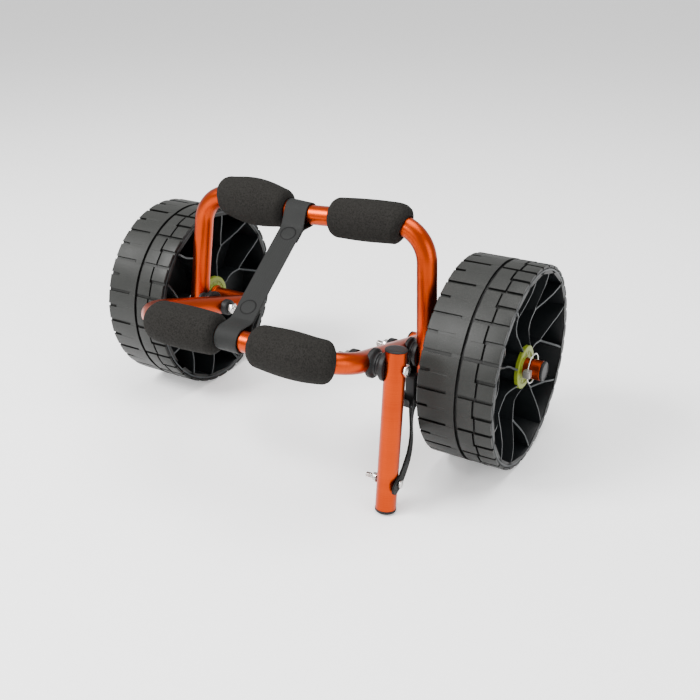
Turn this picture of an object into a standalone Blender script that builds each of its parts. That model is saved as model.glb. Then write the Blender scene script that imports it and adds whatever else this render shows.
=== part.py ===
"""Folding cart for a kayak or canoe: two U tubes, two wheels on stub axles and a kickstand.

Metres, +Z up, +X to the cart's right, +Y to its rear. The wheels and the kickstand stand on z = 0,
and the origin lies under the middle of the whole cart.
"""

import math

import bmesh
import bpy
from mathutils import Matrix, Vector

# Clearances
GAP = 0.0003
RUNNING_GAP = 0.0004
BORE_GAP = 0.0005
PAD_BORE_GAP = 0.0007

# Tube stock, the same for the frame, the axles and the kickstand
TUBE_RADIUS = 0.0125
TUBE_WALL = 0.0016
TUBE_SIDES = 14
BEND_STEPS = 5

# Wheels
WHEEL_RADIUS = 0.130
WHEEL_WIDTH = 0.0943
LEFT_WHEEL_TURN = math.radians(8.4)
TYRE_THICKNESS = 0.0036
DRUM_WALL = 0.0042
RIM_STEPS = 30
DISH_STEPS = 14
WEB_THICKNESS = 0.003
HUB_WALL = 0.0065
BUSH_FLANGE_RADIUS = 0.0275
BUSH_FLANGE_THICKNESS = 0.005
BUSH_FACE_DEPTH = 0.0076
BUSH_WALL = 0.003
BUSH_SLEEVE_LENGTH = 0.018
BUSH_STEPS = 18

# Forked ribs: (radius, angle) along the trunk and along each branch, in a wheel's own plane
RIB_COUNT = 7
RIB_THICKNESS = 0.0028
RIB_TURN = math.radians(107.9)
RIB_TRUNK = ((0.0220, 7.5), (0.0310, 4.5), (0.0420, -1.7), (0.0560, 2.0), (0.0728, 0.0))
RIB_BRANCH_AHEAD = ((0.0728, 0.0), (0.0960, 12.0), (0.1265, 16.9))
RIB_BRANCH_BEHIND = ((0.0728, 0.0), (0.0960, -8.3), (0.1265, -14.6))

# Depth of the ribs' edges under the wheel's face: (radius, depth) from the hub to the rim
RIB_EDGE = ((0.0469, 0.0175), (0.0750, 0.0153), (0.1020, 0.0042))
RIB_EDGE_AT_BUSH = 0.0084

# Tread, in shares of the width from the wheel's inner edge on the cart's right
TREAD_PITCHES = 18
GROOVE_DEPTH = 0.0018
GROOVE_WIDTH = 0.0044
ROUND_GROOVE_WIDTH = 0.0026
SHOULDER_SHARE = 0.15
LONG_GROOVE_SHARE = 0.39
MIDDLE_GROOVE_SHARE = 0.53
OUTER_GROOVE_SHARE = 0.77
TREAD_TURN = math.radians(15.0)

# Stub axles
AXLE_BEYOND_PIN = 0.0166
AXLE_CAP_THICKNESS = 0.0035
AXLE_INNER_OVERHANG = 0.002
AXLE_BEAD_HEIGHT = 0.0025
AXLE_BEAD_WIDTH = 0.005
AXLE_SIDES = 18
PLUG_DEPTH = 0.012

# Lynch pins and rings
LYNCH_CLEARANCE = 0.00355
LYNCH_PIN_RADIUS = 0.0035
LYNCH_PIN_TIP = 0.0044
LYNCH_HEAD = 0.0095
LYNCH_RING_RADIUS = 0.0188
LYNCH_WIRE_RADIUS = 0.0009

# Front frame: a U tube in a plane that climbs forwards from the axle
FRONT_CLIMB = math.radians(15.9)
FRONT_REACH = 0.2475
FRONT_HALF_WIDTH = 0.1577
FRONT_SPREAD = 0.0197
FRAME_TO_WHEEL = 0.057
FRONT_BAR_DIP = 0.0092

# Rear frame: a U tube that turns on the front legs
REAR_LEAN = math.radians(5.1)
REAR_REACH = 0.1587
REAR_LEG_TAIL = 0.0212
REAR_BAR_WIDER = 0.0065
REAR_BAR_DIP = 0.0103
PIVOT_ALONG_LEG = 0.0682
PIVOT_LEG_GAP = 0.0082
BEND_RADIUS = 0.045
DIP_RADIUS = 0.12

# Foam pads: where each starts along its bar's arm, from the bar's middle
PAD_RADIUS = 0.025
PAD_SHORTER_THAN_HALF_BAR = 0.0617
PAD_END_RADIUS = 0.010
PAD_END_STEP_SHARE = 0.3
PAD_STARTS = {
    "rear_left": 0.038,
    "rear_right": 0.036,
    "front_left": 0.0185,
    "front_right": 0.037,
}

# Centre strap
STRAP_WIDTH = 0.034
STRAP_THICKNESS = 0.0024
STRAP_REAR_OFFSET = -0.013
STRAP_LOOP_GAP = 0.0009
STRAP_TAIL = 0.043
STRAP_LOOP_THROAT = 0.030

# Fasteners
BOLT_RADIUS = 0.004
HEX_ACROSS_FLATS = 0.013
HEX_HEIGHT = 0.0045
NUT_HEIGHT = 0.0075
BOLT_POINT = 0.0085
WASHER_RADIUS = 0.010
WASHER_THICKNESS = 0.0075
WASHER_SEAT = 0.0015
DRILL_REACH = 0.03
SADDLE_RADIUS = 0.0175
SADDLE_WAIST = 0.0135
SADDLE_WRAP = 0.0046
SADDLE_STEPS = 20

# Kickstand
KICKSTAND_BELOW_BAR = 0.0645
KICKSTAND_LEG_GAP = 0.0128
KICKSTAND_LEAN = math.radians(5.3)
KICKSTAND_ABOVE_HINGE = 0.0236
CAP_LIP = 0.0004
CAP_FLAT_SHARE = 0.75
CAP_CROWN_SHARE = 0.35
AXLE_CAP_DEPTH = 0.0072
KICKSTAND_CAP_THICKNESS = 0.0025
FOOT_CAP_THICKNESS = 0.004

# Limiter strap, from the kickstand's foot to a lug under the right pivot
LIMITER_BOLT_ALONG = 0.1404
LIMITER_BOLT_RADIUS = 0.003
LIMITER_HEX_ACROSS_FLATS = 0.009
LIMITER_STANDOFF = 0.0015
LIMITER_WIDTH = 0.016
LIMITER_THICKNESS = 0.0028
LIMITER_TONGUE = 0.015
LIMITER_SEAT_MARGIN = 0.001
LIMITER_WASHER_RADIUS = 0.0063
LIMITER_NUT_HEIGHT = 0.00525
LIMITER_HEAD_HEIGHT = 0.00315
LUG_THICKNESS = 0.014
LUG_FRONT = 0.0175
LUG_REAR = 0.0185
LUG_TOP = 0.0265
LUG_BOTTOM = 0.068
LUG_SLOT_DROP = 0.0515
LUG_SLOT_BAR = 0.011
LUG_SLOT_WIDTH = 0.006
HANGER_SHARE = 0.6
HANGER_LAP = 0.004

# Directions and places that follow from the sizes above, about the axle's line
AXLE = Vector((0.0, 0.0, WHEEL_RADIUS))
FRONT_WAY = Vector((0.0, -math.cos(FRONT_CLIMB), math.sin(FRONT_CLIMB)))
REAR_WAY = Vector((0.0, math.sin(REAR_LEAN), math.cos(REAR_LEAN)))
KICKSTAND_WAY = Vector((0.0, -math.sin(KICKSTAND_LEAN), -math.cos(KICKSTAND_LEAN)))
PIVOT = AXLE + FRONT_WAY * PIVOT_ALONG_LEG
KICKSTAND_ALONG_LEG = FRONT_REACH - KICKSTAND_BELOW_BAR
HINGE = AXLE + FRONT_WAY * KICKSTAND_ALONG_LEG
FRONT_HALF_WIDTH_AT_AXLE = FRONT_HALF_WIDTH - FRONT_SPREAD
REAR_HALF_WIDTH = FRONT_HALF_WIDTH + REAR_BAR_WIDER
PAD_LENGTH = FRONT_HALF_WIDTH - PAD_SHORTER_THAN_HALF_BAR
FRONT_SPLAY = (FRONT_HALF_WIDTH - FRONT_HALF_WIDTH_AT_AXLE) / FRONT_REACH
PIVOT_FRONT_X = FRONT_HALF_WIDTH_AT_AXLE + FRONT_SPLAY * PIVOT_ALONG_LEG
PIVOT_REAR_X = PIVOT_FRONT_X + 2 * TUBE_RADIUS + PIVOT_LEG_GAP
REAR_SPLAY = (REAR_HALF_WIDTH - PIVOT_REAR_X) / REAR_REACH
HINGE_FRONT_X = FRONT_HALF_WIDTH_AT_AXLE + FRONT_SPLAY * KICKSTAND_ALONG_LEG
KICKSTAND_X = HINGE_FRONT_X + 2 * TUBE_RADIUS + KICKSTAND_LEG_GAP
CAP_RADIUS = TUBE_RADIUS + CAP_LIP
FOOT_EDGE = CAP_RADIUS * CAP_FLAT_SHARE * math.sin(KICKSTAND_LEAN)
KICKSTAND_REACH = (HINGE.z - FOOT_EDGE) / math.cos(KICKSTAND_LEAN)
TUBE_BORE = TUBE_RADIUS - TUBE_WALL
SEAT_RADIUS = (TUBE_RADIUS + GAP) / math.cos(math.pi / TUBE_SIDES)
WHEEL_INNER_X = FRONT_HALF_WIDTH_AT_AXLE + FRAME_TO_WHEEL
WHEEL_MIDDLE_X = WHEEL_INNER_X + WHEEL_WIDTH / 2
BUSH_FACE_X = WHEEL_INNER_X + WHEEL_WIDTH - BUSH_FACE_DEPTH
LYNCH_X = BUSH_FACE_X + LYNCH_CLEARANCE + LYNCH_HEAD / 2
AXLE_END_X = LYNCH_X + AXLE_BEYOND_PIN
WIDEST_BLOCK = math.pi / TREAD_PITCHES
DRUM_RADIUS = (WHEEL_RADIUS - TYRE_THICKNESS) * math.cos(WIDEST_BLOCK / 2) - GAP
DRUM_INNER_RADIUS = DRUM_RADIUS - DRUM_WALL
BUSH_BORE = TUBE_RADIUS + RUNNING_GAP
BUSH_SLEEVE_RADIUS = BUSH_BORE + BUSH_WALL
HUB_BORE = BUSH_SLEEVE_RADIUS + GAP
HUB_RADIUS = HUB_BORE + HUB_WALL
HUB_FACE_DEPTH = BUSH_FACE_DEPTH + BUSH_FLANGE_THICKNESS + GAP
SIDES = {"left": -1, "right": 1}


def clear_scene():
    """Removes what the file opened with."""
    for obj in list(bpy.data.objects):
        bpy.data.objects.remove(obj)


def new_collection(name):
    """A collection under the scene's own."""
    collection = bpy.data.collections.new(name)
    bpy.context.scene.collection.children.link(collection)
    return collection


def new_material(name, colour, roughness, metallic=0.0):
    """A Principled material."""
    material = bpy.data.materials.new(name)
    material.use_nodes = True
    shader = material.node_tree.nodes["Principled BSDF"]
    shader.inputs["Base Color"].default_value = (*colour, 1.0)
    shader.inputs["Roughness"].default_value = roughness
    shader.inputs["Metallic"].default_value = metallic
    material.diffuse_color = (*colour, 1.0)
    return material


def new_empty(name, position, parent=None):
    """An empty on a joint's axis, for what turns or slides there."""
    empty = bpy.data.objects.new(name, None)
    empty.empty_display_size = 0.03
    empty.location = position
    bpy.context.scene.collection.objects.link(empty)
    bpy.context.view_layer.update()
    if parent:
        attach(empty, parent)
    return empty


def attach(obj, parent):
    """Parents an object and leaves it where it is."""
    bpy.context.view_layer.update()
    obj.parent = parent
    obj.matrix_parent_inverse = parent.matrix_world.inverted()


def mesh_object(name, mesh):
    """An object round a mesh, in the scene's own collection."""
    obj = bpy.data.objects.new(name, mesh)
    bpy.context.scene.collection.objects.link(obj)
    return obj


def bake(obj):
    """Makes an object's modifiers, or a curve's shape, its own welded mesh."""
    bpy.context.view_layer.update()
    graph = bpy.context.evaluated_depsgraph_get()
    mesh = bpy.data.meshes.new_from_object(obj.evaluated_get(graph))
    shape = bmesh.new()
    shape.from_mesh(mesh)
    bmesh.ops.remove_doubles(shape, verts=shape.verts, dist=0.00001)
    shape.to_mesh(mesh)
    shape.free()
    if obj.type == "MESH":
        obj.modifiers.clear()
        obj.data = mesh
        return obj
    solid = mesh_object(obj.name + "_solid", mesh)
    solid.matrix_world = obj.matrix_world
    bpy.data.objects.remove(obj)
    return solid


def boolean(obj, other, operation="DIFFERENCE"):
    """Cuts or joins one object with another, which is used up."""
    modifier = obj.modifiers.new(operation.title(), "BOOLEAN")
    modifier.operation = operation
    modifier.object = other
    bake(obj)
    bpy.data.objects.remove(other)
    return obj


def rounded_path(points, radii, steps):
    """Points along straight runs whose inner corners are arcs of the given radii."""
    path = [points[0]]
    for before, corner, after, radius, count in zip(points, points[1:], points[2:], radii, steps):
        back = (before - corner).normalized()
        ahead = (after - corner).normalized()
        half_angle = back.angle(ahead) / 2
        centre = corner + (back + ahead).normalized() * (radius / math.sin(half_angle))
        first = corner + back * (radius / math.tan(half_angle)) - centre
        normal = back.cross(ahead).normalized()
        turn = 2 * half_angle - math.pi
        for step in range(count + 1):
            path.append(centre + Matrix.Rotation(turn * step / count, 3, normal) @ first)
    path.append(points[-1])
    return path


def sweep(name, path, radius, sides, scales=None, capped=True):
    """A round bar along a path, as a welded mesh. Scales widen or narrow it at each point."""
    curve = bpy.data.curves.new(name, "CURVE")
    curve.dimensions = "3D"
    curve.bevel_depth = radius
    curve.bevel_resolution = (sides - 4) // 2
    curve.use_fill_caps = capped
    curve.twist_mode = "MINIMUM"
    spline = curve.splines.new("POLY")
    spline.points.add(len(path) - 1)
    for index, point in enumerate(path):
        spline.points[index].co = (*point, 1.0)
        spline.points[index].radius = scales[index] if scales else 1.0
    return bake(mesh_object(name, curve))


def tube(name, path, sides=TUBE_SIDES):
    """A tube of the cart's stock along a path, open at both ends."""
    obj = sweep(name, path, TUBE_RADIUS, sides, capped=False)
    wall = obj.modifiers.new("Wall", "SOLIDIFY")
    wall.thickness = TUBE_WALL
    wall.offset = -1.0
    wall.use_even_offset = True
    wall.use_rim = True
    return bake(obj)


def turned(name, profile, steps):
    """A ring or disc turned about local Z from (radius, height) points, outer side downwards."""
    mesh = bpy.data.meshes.new(name)
    points = [(radius, 0.0, height) for radius, height in profile]
    edges = [(index, index + 1) for index in range(len(points) - 1)]
    if profile[0][0] > 0.0:
        edges.append((len(points) - 1, 0))
    mesh.from_pydata(points, edges, [])
    obj = mesh_object(name, mesh)
    screw = obj.modifiers.new("Screw", "SCREW")
    screw.steps = steps
    screw.render_steps = steps
    screw.use_merge_vertices = True
    screw.merge_threshold = 0.00001
    screw.use_smooth_shade = False
    return bake(obj)


def along_x(position, sign=1):
    """The placing that turns local Z to world X, or to world -X."""
    return Matrix.Translation(position) @ Matrix.Rotation(sign * math.pi / 2, 4, "Y")


def apply_place(obj, matrix):
    """Writes a placing into an object's own mesh."""
    obj.data.transform(matrix)
    return obj


def plate(name, outlines, thickness):
    """A flat plate from closed outlines in local X and Y, centred on local Z. Later ones are holes."""
    curve = bpy.data.curves.new(name, "CURVE")
    curve.dimensions = "2D"
    curve.fill_mode = "BOTH"
    curve.extrude = thickness / 2
    for outline in outlines:
        spline = curve.splines.new("POLY")
        spline.points.add(len(outline) - 1)
        spline.use_cyclic_u = True
        for index, (x, y) in enumerate(outline):
            spline.points[index].co = (x, y, 0.0, 1.0)
    return face_out(bake(mesh_object(name, curve)))


def face_out(obj):
    """Turns all of a closed mesh's faces outwards and merges those that lie in one plane."""
    shape = bmesh.new()
    shape.from_mesh(obj.data)
    bmesh.ops.recalc_face_normals(shape, faces=shape.faces)
    if shape.calc_volume(signed=True) < 0.0:
        bmesh.ops.reverse_faces(shape, faces=shape.faces)
    flat = math.radians(0.3)
    bmesh.ops.dissolve_limit(shape, angle_limit=flat, verts=shape.verts, edges=shape.edges)
    bmesh.ops.triangulate(shape, faces=shape.faces)
    shape.to_mesh(obj.data)
    shape.free()
    return obj


def box(name, low, high):
    """A box between two corners."""
    bpy.ops.mesh.primitive_cube_add(size=1.0)
    obj = bpy.context.object
    obj.name = name
    size = high - low
    return apply_place(obj, Matrix.Translation((low + high) / 2) @ Matrix.Diagonal((*size, 1.0)))


def rod(name, start, end, radius, sides=12):
    """A round bar between two points."""
    way = end - start
    bpy.ops.mesh.primitive_cylinder_add(vertices=sides, radius=radius, depth=way.length)
    obj = bpy.context.object
    obj.name = name
    turn = Vector((0.0, 0.0, 1.0)).rotation_difference(way.normalized()).to_matrix().to_4x4()
    return apply_place(obj, Matrix.Translation((start + end) / 2) @ turn)


def hexagon(name, start, end, across_flats):
    """A hexagon head or nut between two points on one axis, with its outer corners rounded off."""
    return rod(name, start, end, across_flats / math.sqrt(3.0), 6)


def at_x(point, x):
    """A point moved to another X."""
    return Vector((x, point.y, point.z))


def drill(obj, start, end, radius, sides=10):
    """Cuts a round hole from one point to another."""
    return boolean(obj, rod("drill", start, end, radius, sides))


def drill_along_x(obj, centre, x, radius):
    """Cuts a bolt's hole through a tube whose centre is at an X."""
    start = at_x(centre, x - DRILL_REACH)
    return drill(obj, start, at_x(centre, x + DRILL_REACH), radius + BORE_GAP)


def front_leg_line(sign):
    """Two points on the centre line of a front leg."""
    low = AXLE + Vector((sign * FRONT_HALF_WIDTH_AT_AXLE, 0.0, 0.0))
    high = AXLE + FRONT_WAY * FRONT_REACH + Vector((sign * FRONT_HALF_WIDTH, 0.0, 0.0))
    return low, high


def rear_leg_line(sign):
    """Two points on the centre line of a rear leg, from below the pivot to the bar's corner."""
    tail_x = PIVOT_REAR_X - REAR_SPLAY * REAR_LEG_TAIL
    low = PIVOT - REAR_WAY * REAR_LEG_TAIL + Vector((sign * tail_x, 0.0, 0.0))
    high = PIVOT + REAR_WAY * REAR_REACH + Vector((sign * REAR_HALF_WIDTH, 0.0, 0.0))
    return low, high


def kickstand_line():
    """The kickstand tube's two ends, and its two ends with the caps."""
    hinge = at_x(HINGE, KICKSTAND_X)
    top = hinge - KICKSTAND_WAY * KICKSTAND_ABOVE_HINGE
    foot = hinge + KICKSTAND_WAY * KICKSTAND_REACH
    tube_top = top + KICKSTAND_WAY * (KICKSTAND_CAP_THICKNESS + GAP)
    tube_foot = foot - KICKSTAND_WAY * (FOOT_CAP_THICKNESS + GAP)
    return tube_top, tube_foot, top, foot


def bar_path(line, way, dip):
    """The centre line of a U tube: both legs, both bends and the shallow V of its bar."""
    left_low, left_corner = line(-1)
    right_low, right_corner = line(1)
    middle = (left_corner + right_corner) / 2 - way * dip
    points = [left_low, left_corner, middle, right_corner, right_low]
    radii = [BEND_RADIUS, DIP_RADIUS, BEND_RADIUS]
    return rounded_path(points, radii, [BEND_STEPS, 2, BEND_STEPS])


def pad_path(path, start, length, sign):
    """The part of a bar's centre line under a pad, with the shares of its length at each point."""
    middle = len(path) // 2
    half = path[middle:] if sign > 0 else path[middle::-1]
    stops = [start, start + PAD_END_RADIUS * PAD_END_STEP_SHARE, start + PAD_END_RADIUS]
    stops += [start + length - stop + start for stop in reversed(stops)]
    runs = [0.0]
    for before, after in zip(half, half[1:]):
        runs.append(runs[-1] + (after - before).length)
    inner = []
    for run in runs:
        if start < run < start + length and min(abs(run - stop) for stop in stops) > 2 * GAP:
            inner.append(run)
    found = []
    for stop in sorted(stops + inner):
        index = max(i for i, run in enumerate(runs) if run <= stop)
        share = (stop - runs[index]) / (runs[index + 1] - runs[index])
        found.append((stop - start, half[index].lerp(half[index + 1], share)))
    return found


def make_pad(name, path, start, sign):
    """A foam sleeve with rounded ends along a bar."""
    points = pad_path(path, start, PAD_LENGTH, sign)
    scales = []
    for along, _ in points:
        end = max(min(along, PAD_LENGTH - along, PAD_END_RADIUS) / PAD_END_RADIUS, 0.0)
        rounding = PAD_END_RADIUS * (1.0 - math.sqrt(1.0 - (1.0 - end) ** 2))
        scales.append((PAD_RADIUS - rounding) / PAD_RADIUS)
    line = [point for _, point in points]
    pad = sweep(name, line, PAD_RADIUS, TUBE_SIDES, scales)
    ahead = (line[-1] - line[-2]).normalized()
    back = (line[0] - line[1]).normalized()
    bore = [line[0] + back * PAD_END_RADIUS, *line[1:-1], line[-1] + ahead * PAD_END_RADIUS]
    return boolean(pad, sweep("pad_bore", bore, TUBE_RADIUS + PAD_BORE_GAP, TUBE_SIDES))


def outline_of(line, thickness):
    """The closed outline of a strip along a flat line of points."""
    left = []
    right = []
    for index, point in enumerate(line):
        before = line[max(index - 1, 0)]
        after = line[min(index + 1, len(line) - 1)]
        way = (after - before).normalized()
        side = Vector((-way.y, way.x)) * thickness / 2
        left.append(point + side)
        right.append(point - side)
    return left + right[::-1]


def polar(points, turn):
    """Flat points from (radius, angle in degrees) pairs."""
    found = []
    for radius, degrees in points:
        angle = math.radians(degrees) + turn
        found.append(Vector((radius * math.cos(angle), radius * math.sin(angle))))
    return found


def make_ribs():
    """Seven forked ribs as upright strips, cut to the dished line of their edges on both faces."""
    height = WHEEL_WIDTH
    half = WHEEL_WIDTH / 2
    ribs = None
    for index in range(RIB_COUNT):
        turn = RIB_TURN - index * math.tau / RIB_COUNT
        for run in (RIB_TRUNK, RIB_BRANCH_AHEAD, RIB_BRANCH_BEHIND):
            strip = plate("rib", [outline_of(polar(run, turn), RIB_THICKNESS)], height)
            ribs = boolean(ribs, strip, "UNION") if ribs else strip
    inner = (BUSH_FLANGE_RADIUS + GAP) / math.cos(math.pi / DISH_STEPS)
    outer = DRUM_RADIUS - DRUM_WALL / 3
    edge = [(outer, half - GAP)]
    edge += [(radius, half - depth) for radius, depth in reversed(RIB_EDGE)]
    edge += [(inner, half - RIB_EDGE_AT_BUSH), (inner, half - HUB_FACE_DEPTH)]
    edge.append((HUB_BORE + HUB_WALL / 3, half - HUB_FACE_DEPTH))
    lower = [(radius, -level) for radius, level in edge]
    return boolean(ribs, turned("dish", [edge[0], *lower, *edge[:0:-1]], DISH_STEPS), "INTERSECT")


def make_rim(name):
    """A wheel's rim: drum, web, hub and forked ribs as one moulding."""
    half = WHEEL_WIDTH / 2
    web = WEB_THICKNESS / 2
    hub = half - HUB_FACE_DEPTH
    upper = [(HUB_BORE, hub), (HUB_RADIUS, hub), (HUB_RADIUS, web), (DRUM_INNER_RADIUS, web)]
    upper += [(DRUM_INNER_RADIUS, half), (DRUM_RADIUS, half)]
    lower = [(radius, -level) for radius, level in upper]
    rim = turned(name, [upper[5], *lower[::-1], *upper[:5]], RIM_STEPS)
    return face_out(boolean(rim, make_ribs(), "UNION"))


def tread_angle(column):
    """Where a column of the tread's grid lies: each groove is narrow and each block fills the rest."""
    pitch = math.tau / TREAD_PITCHES
    groove = GROOVE_WIDTH / WHEEL_RADIUS
    places = (0.0, groove, pitch / 2, pitch / 2 + groove)
    return TREAD_TURN + (column // 4) * pitch + places[column % 4]


def make_tyre(name):
    """A tyre whose blocks are raised from its carcass, with grooves at every pitch."""
    half = WHEEL_WIDTH / 2
    base = WHEEL_RADIUS - GROOVE_DEPTH
    inner = WHEEL_RADIUS - TYRE_THICKNESS
    slot = ROUND_GROOVE_WIDTH / 2 / WHEEL_WIDTH
    shares = [0.0, SHOULDER_SHARE, LONG_GROOVE_SHARE]
    for share in (MIDDLE_GROOVE_SHARE, OUTER_GROOVE_SHARE):
        shares += [share - slot, share + slot]
    shares.append(1.0)
    heights = [share * WHEEL_WIDTH - half for share in shares]
    profile = [(base, height) for height in reversed(heights)] + [(inner, -half), (inner, half)]
    columns = 4 * TREAD_PITCHES
    tyre = turned(name, profile, columns)
    shape = bmesh.new()
    shape.from_mesh(tyre.data)
    for vertex in shape.verts:
        radius = vertex.co.xy.length
        column = round(math.atan2(vertex.co.y, vertex.co.x) % math.tau / (math.tau / columns)) % columns
        angle = tread_angle(column)
        vertex.co.xy = (radius * math.cos(angle), radius * math.sin(angle))
    shape.normal_update()
    raised = []
    for face in shape.faces:
        corners = [vertex.co for vertex in face.verts]
        if min(corner.xy.length for corner in corners) < (base + inner) / 2:
            continue
        centre = face.calc_center_median()
        share = (centre.z + half) / WHEEL_WIDTH
        angle = (math.atan2(centre.y, centre.x) - TREAD_TURN) % (math.tau / TREAD_PITCHES)
        groove = GROOVE_WIDTH / WHEEL_RADIUS
        main = angle < groove
        between = WIDEST_BLOCK < angle < WIDEST_BLOCK + groove
        round_groove = min(abs(share - MIDDLE_GROOVE_SHARE), abs(share - OUTER_GROOVE_SHARE)) < slot
        across = main and not LONG_GROOVE_SHARE < share < MIDDLE_GROOVE_SHARE
        short = between and (share < SHOULDER_SHARE or share > OUTER_GROOVE_SHARE)
        if not (round_groove or across or short):
            raised.append(face)
    grown = bmesh.ops.extrude_face_region(shape, geom=raised)
    for vertex in [item for item in grown["geom"] if isinstance(item, bmesh.types.BMVert)]:
        vertex.co.xy *= WHEEL_RADIUS / base
    bmesh.ops.delete(shape, geom=raised, context="FACES")
    shape.to_mesh(tyre.data)
    shape.free()
    return face_out(tyre)


def make_bush(name):
    """A flanged bush, its flange's outer face up."""
    profile = [
        (BUSH_FLANGE_RADIUS, BUSH_FLANGE_THICKNESS),
        (BUSH_FLANGE_RADIUS, 0.0),
        (BUSH_SLEEVE_RADIUS, 0.0),
        (BUSH_SLEEVE_RADIUS, -BUSH_SLEEVE_LENGTH),
        (BUSH_BORE, -BUSH_SLEEVE_LENGTH),
        (BUSH_BORE, BUSH_FLANGE_THICKNESS),
    ]
    return turned(name, profile, BUSH_STEPS)


def make_axle(name):
    """A stub axle along local Z, with a rolled bead that the wheel runs against."""
    start = FRONT_HALF_WIDTH_AT_AXLE - TUBE_RADIUS - AXLE_INNER_OVERHANG
    end = AXLE_END_X - AXLE_CAP_THICKNESS - GAP
    stop = WHEEL_INNER_X + BUSH_FACE_DEPTH - RUNNING_GAP
    bead = TUBE_RADIUS + AXLE_BEAD_HEIGHT
    profile = [
        (TUBE_RADIUS, end),
        (TUBE_RADIUS, stop),
        (bead, stop - AXLE_BEAD_WIDTH / 2),
        (TUBE_RADIUS, stop - AXLE_BEAD_WIDTH),
        (TUBE_RADIUS, start),
        (TUBE_BORE, start),
        (TUBE_BORE, end),
    ]
    axle = turned(name, profile, AXLE_SIDES)
    pin = Vector((0.0, 0.0, LYNCH_X))
    side = Vector((0.0, 2 * TUBE_RADIUS, 0.0))
    return drill(axle, pin - side, pin + side, LYNCH_PIN_RADIUS + BORE_GAP)


def make_cap(name, lip_radius, thickness, depth):
    """A push-in cap on local Z: its underside lies at 0 and its stem runs down into the bore."""
    crown = thickness * CAP_CROWN_SHARE
    profile = [
        (0.0, thickness),
        (lip_radius * CAP_FLAT_SHARE, thickness),
        (lip_radius, thickness - crown),
        (lip_radius, 0.0),
        (TUBE_BORE - GAP, 0.0),
        (TUBE_BORE - GAP, -depth),
        (0.0, -depth),
    ]
    return turned(name, profile, TUBE_SIDES)


def facing(position, way):
    """The placing that turns local Z along a direction."""
    turn = Vector((0.0, 0.0, 1.0)).rotation_difference(way).to_matrix().to_4x4()
    return Matrix.Translation(position) @ turn


def make_saddle(name, centre, line, seat_x, face_x):
    """A saddle washer on X: hollowed for the tube at one end and waisted towards its flat face."""
    length = abs(face_x - seat_x)
    profile = [
        (0.0, length),
        (SADDLE_WAIST, length),
        (SADDLE_WAIST, length * 0.75),
        (SADDLE_RADIUS, length * 0.4),
        (SADDLE_RADIUS, 0.0),
        (0.0, 0.0),
    ]
    place = along_x(at_x(centre, seat_x), 1 if face_x > seat_x else -1)
    saddle = apply_place(turned(name, profile, SADDLE_STEPS), place)
    return seat_on_tube(saddle, centre, line, seat_x, face_x)


def seat_on_tube(washer, centre, line, start, end):
    """Hollows a washer for the tube under it and drills it for its bolt."""
    washer = boolean(washer, rod("seat", line[0], line[1], SEAT_RADIUS, TUBE_SIDES))
    low = at_x(centre, min(start, end) - DRILL_REACH)
    return drill(washer, low, at_x(centre, max(start, end) + DRILL_REACH), BOLT_RADIUS + BORE_GAP)


def make_bolt(name, centre, head, tip, radius=BOLT_RADIUS, flats=HEX_ACROSS_FLATS, height=HEX_HEIGHT):
    """A hexagon bolt along X: its head's underside is at one X and its tip at another."""
    rise = math.copysign(height, head - tip)
    shank = rod(name, at_x(centre, tip), at_x(centre, head + rise / 2), radius)
    top = hexagon("head", at_x(centre, head), at_x(centre, head + rise), flats)
    return boolean(shank, top, "UNION")


def make_nut(name, centre, start, end, radius=BOLT_RADIUS, flats=HEX_ACROSS_FLATS):
    """A hexagon nut along X."""
    nut = hexagon(name, at_x(centre, start), at_x(centre, end), flats)
    low = at_x(centre, start - DRILL_REACH)
    return drill(nut, low, at_x(centre, end + DRILL_REACH), radius + GAP)


def strap_outlines(length):
    """The centre strap's side view: a loop round the bar at each end, one layer between."""
    inner = TUBE_RADIUS + STRAP_LOOP_GAP
    outer = inner + STRAP_THICKNESS
    layer = STRAP_THICKNESS

    def loop(radius, throat, lift):
        tangent = math.acos((radius - lift) / throat)
        angles = [tangent + (math.tau - 2 * tangent) * step / 8 for step in range(9)]
        return [Vector((radius * math.cos(angle), radius * math.sin(angle))) for angle in angles]

    front = loop(outer, STRAP_LOOP_THROAT, layer)
    rear = [Vector((length - point.x, point.y)) for point in front][::-1]
    upper = [Vector((length - STRAP_LOOP_THROAT, layer)), Vector((STRAP_LOOP_THROAT, layer))]
    lower = [
        Vector((STRAP_LOOP_THROAT, -layer)),
        Vector((STRAP_TAIL, -layer)),
        Vector((STRAP_TAIL, 0.0)),
        Vector((length - STRAP_TAIL, 0.0)),
        Vector((length - STRAP_TAIL, -layer)),
        Vector((length - STRAP_LOOP_THROAT, -layer)),
    ]
    front_hole = [*loop(inner, STRAP_LOOP_THROAT, 0.0), Vector((STRAP_LOOP_THROAT, 0.0))]
    rear_hole = [Vector((length - point.x, point.y)) for point in front_hole][::-1]
    return [front + lower + rear + upper, front_hole, rear_hole]


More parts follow.
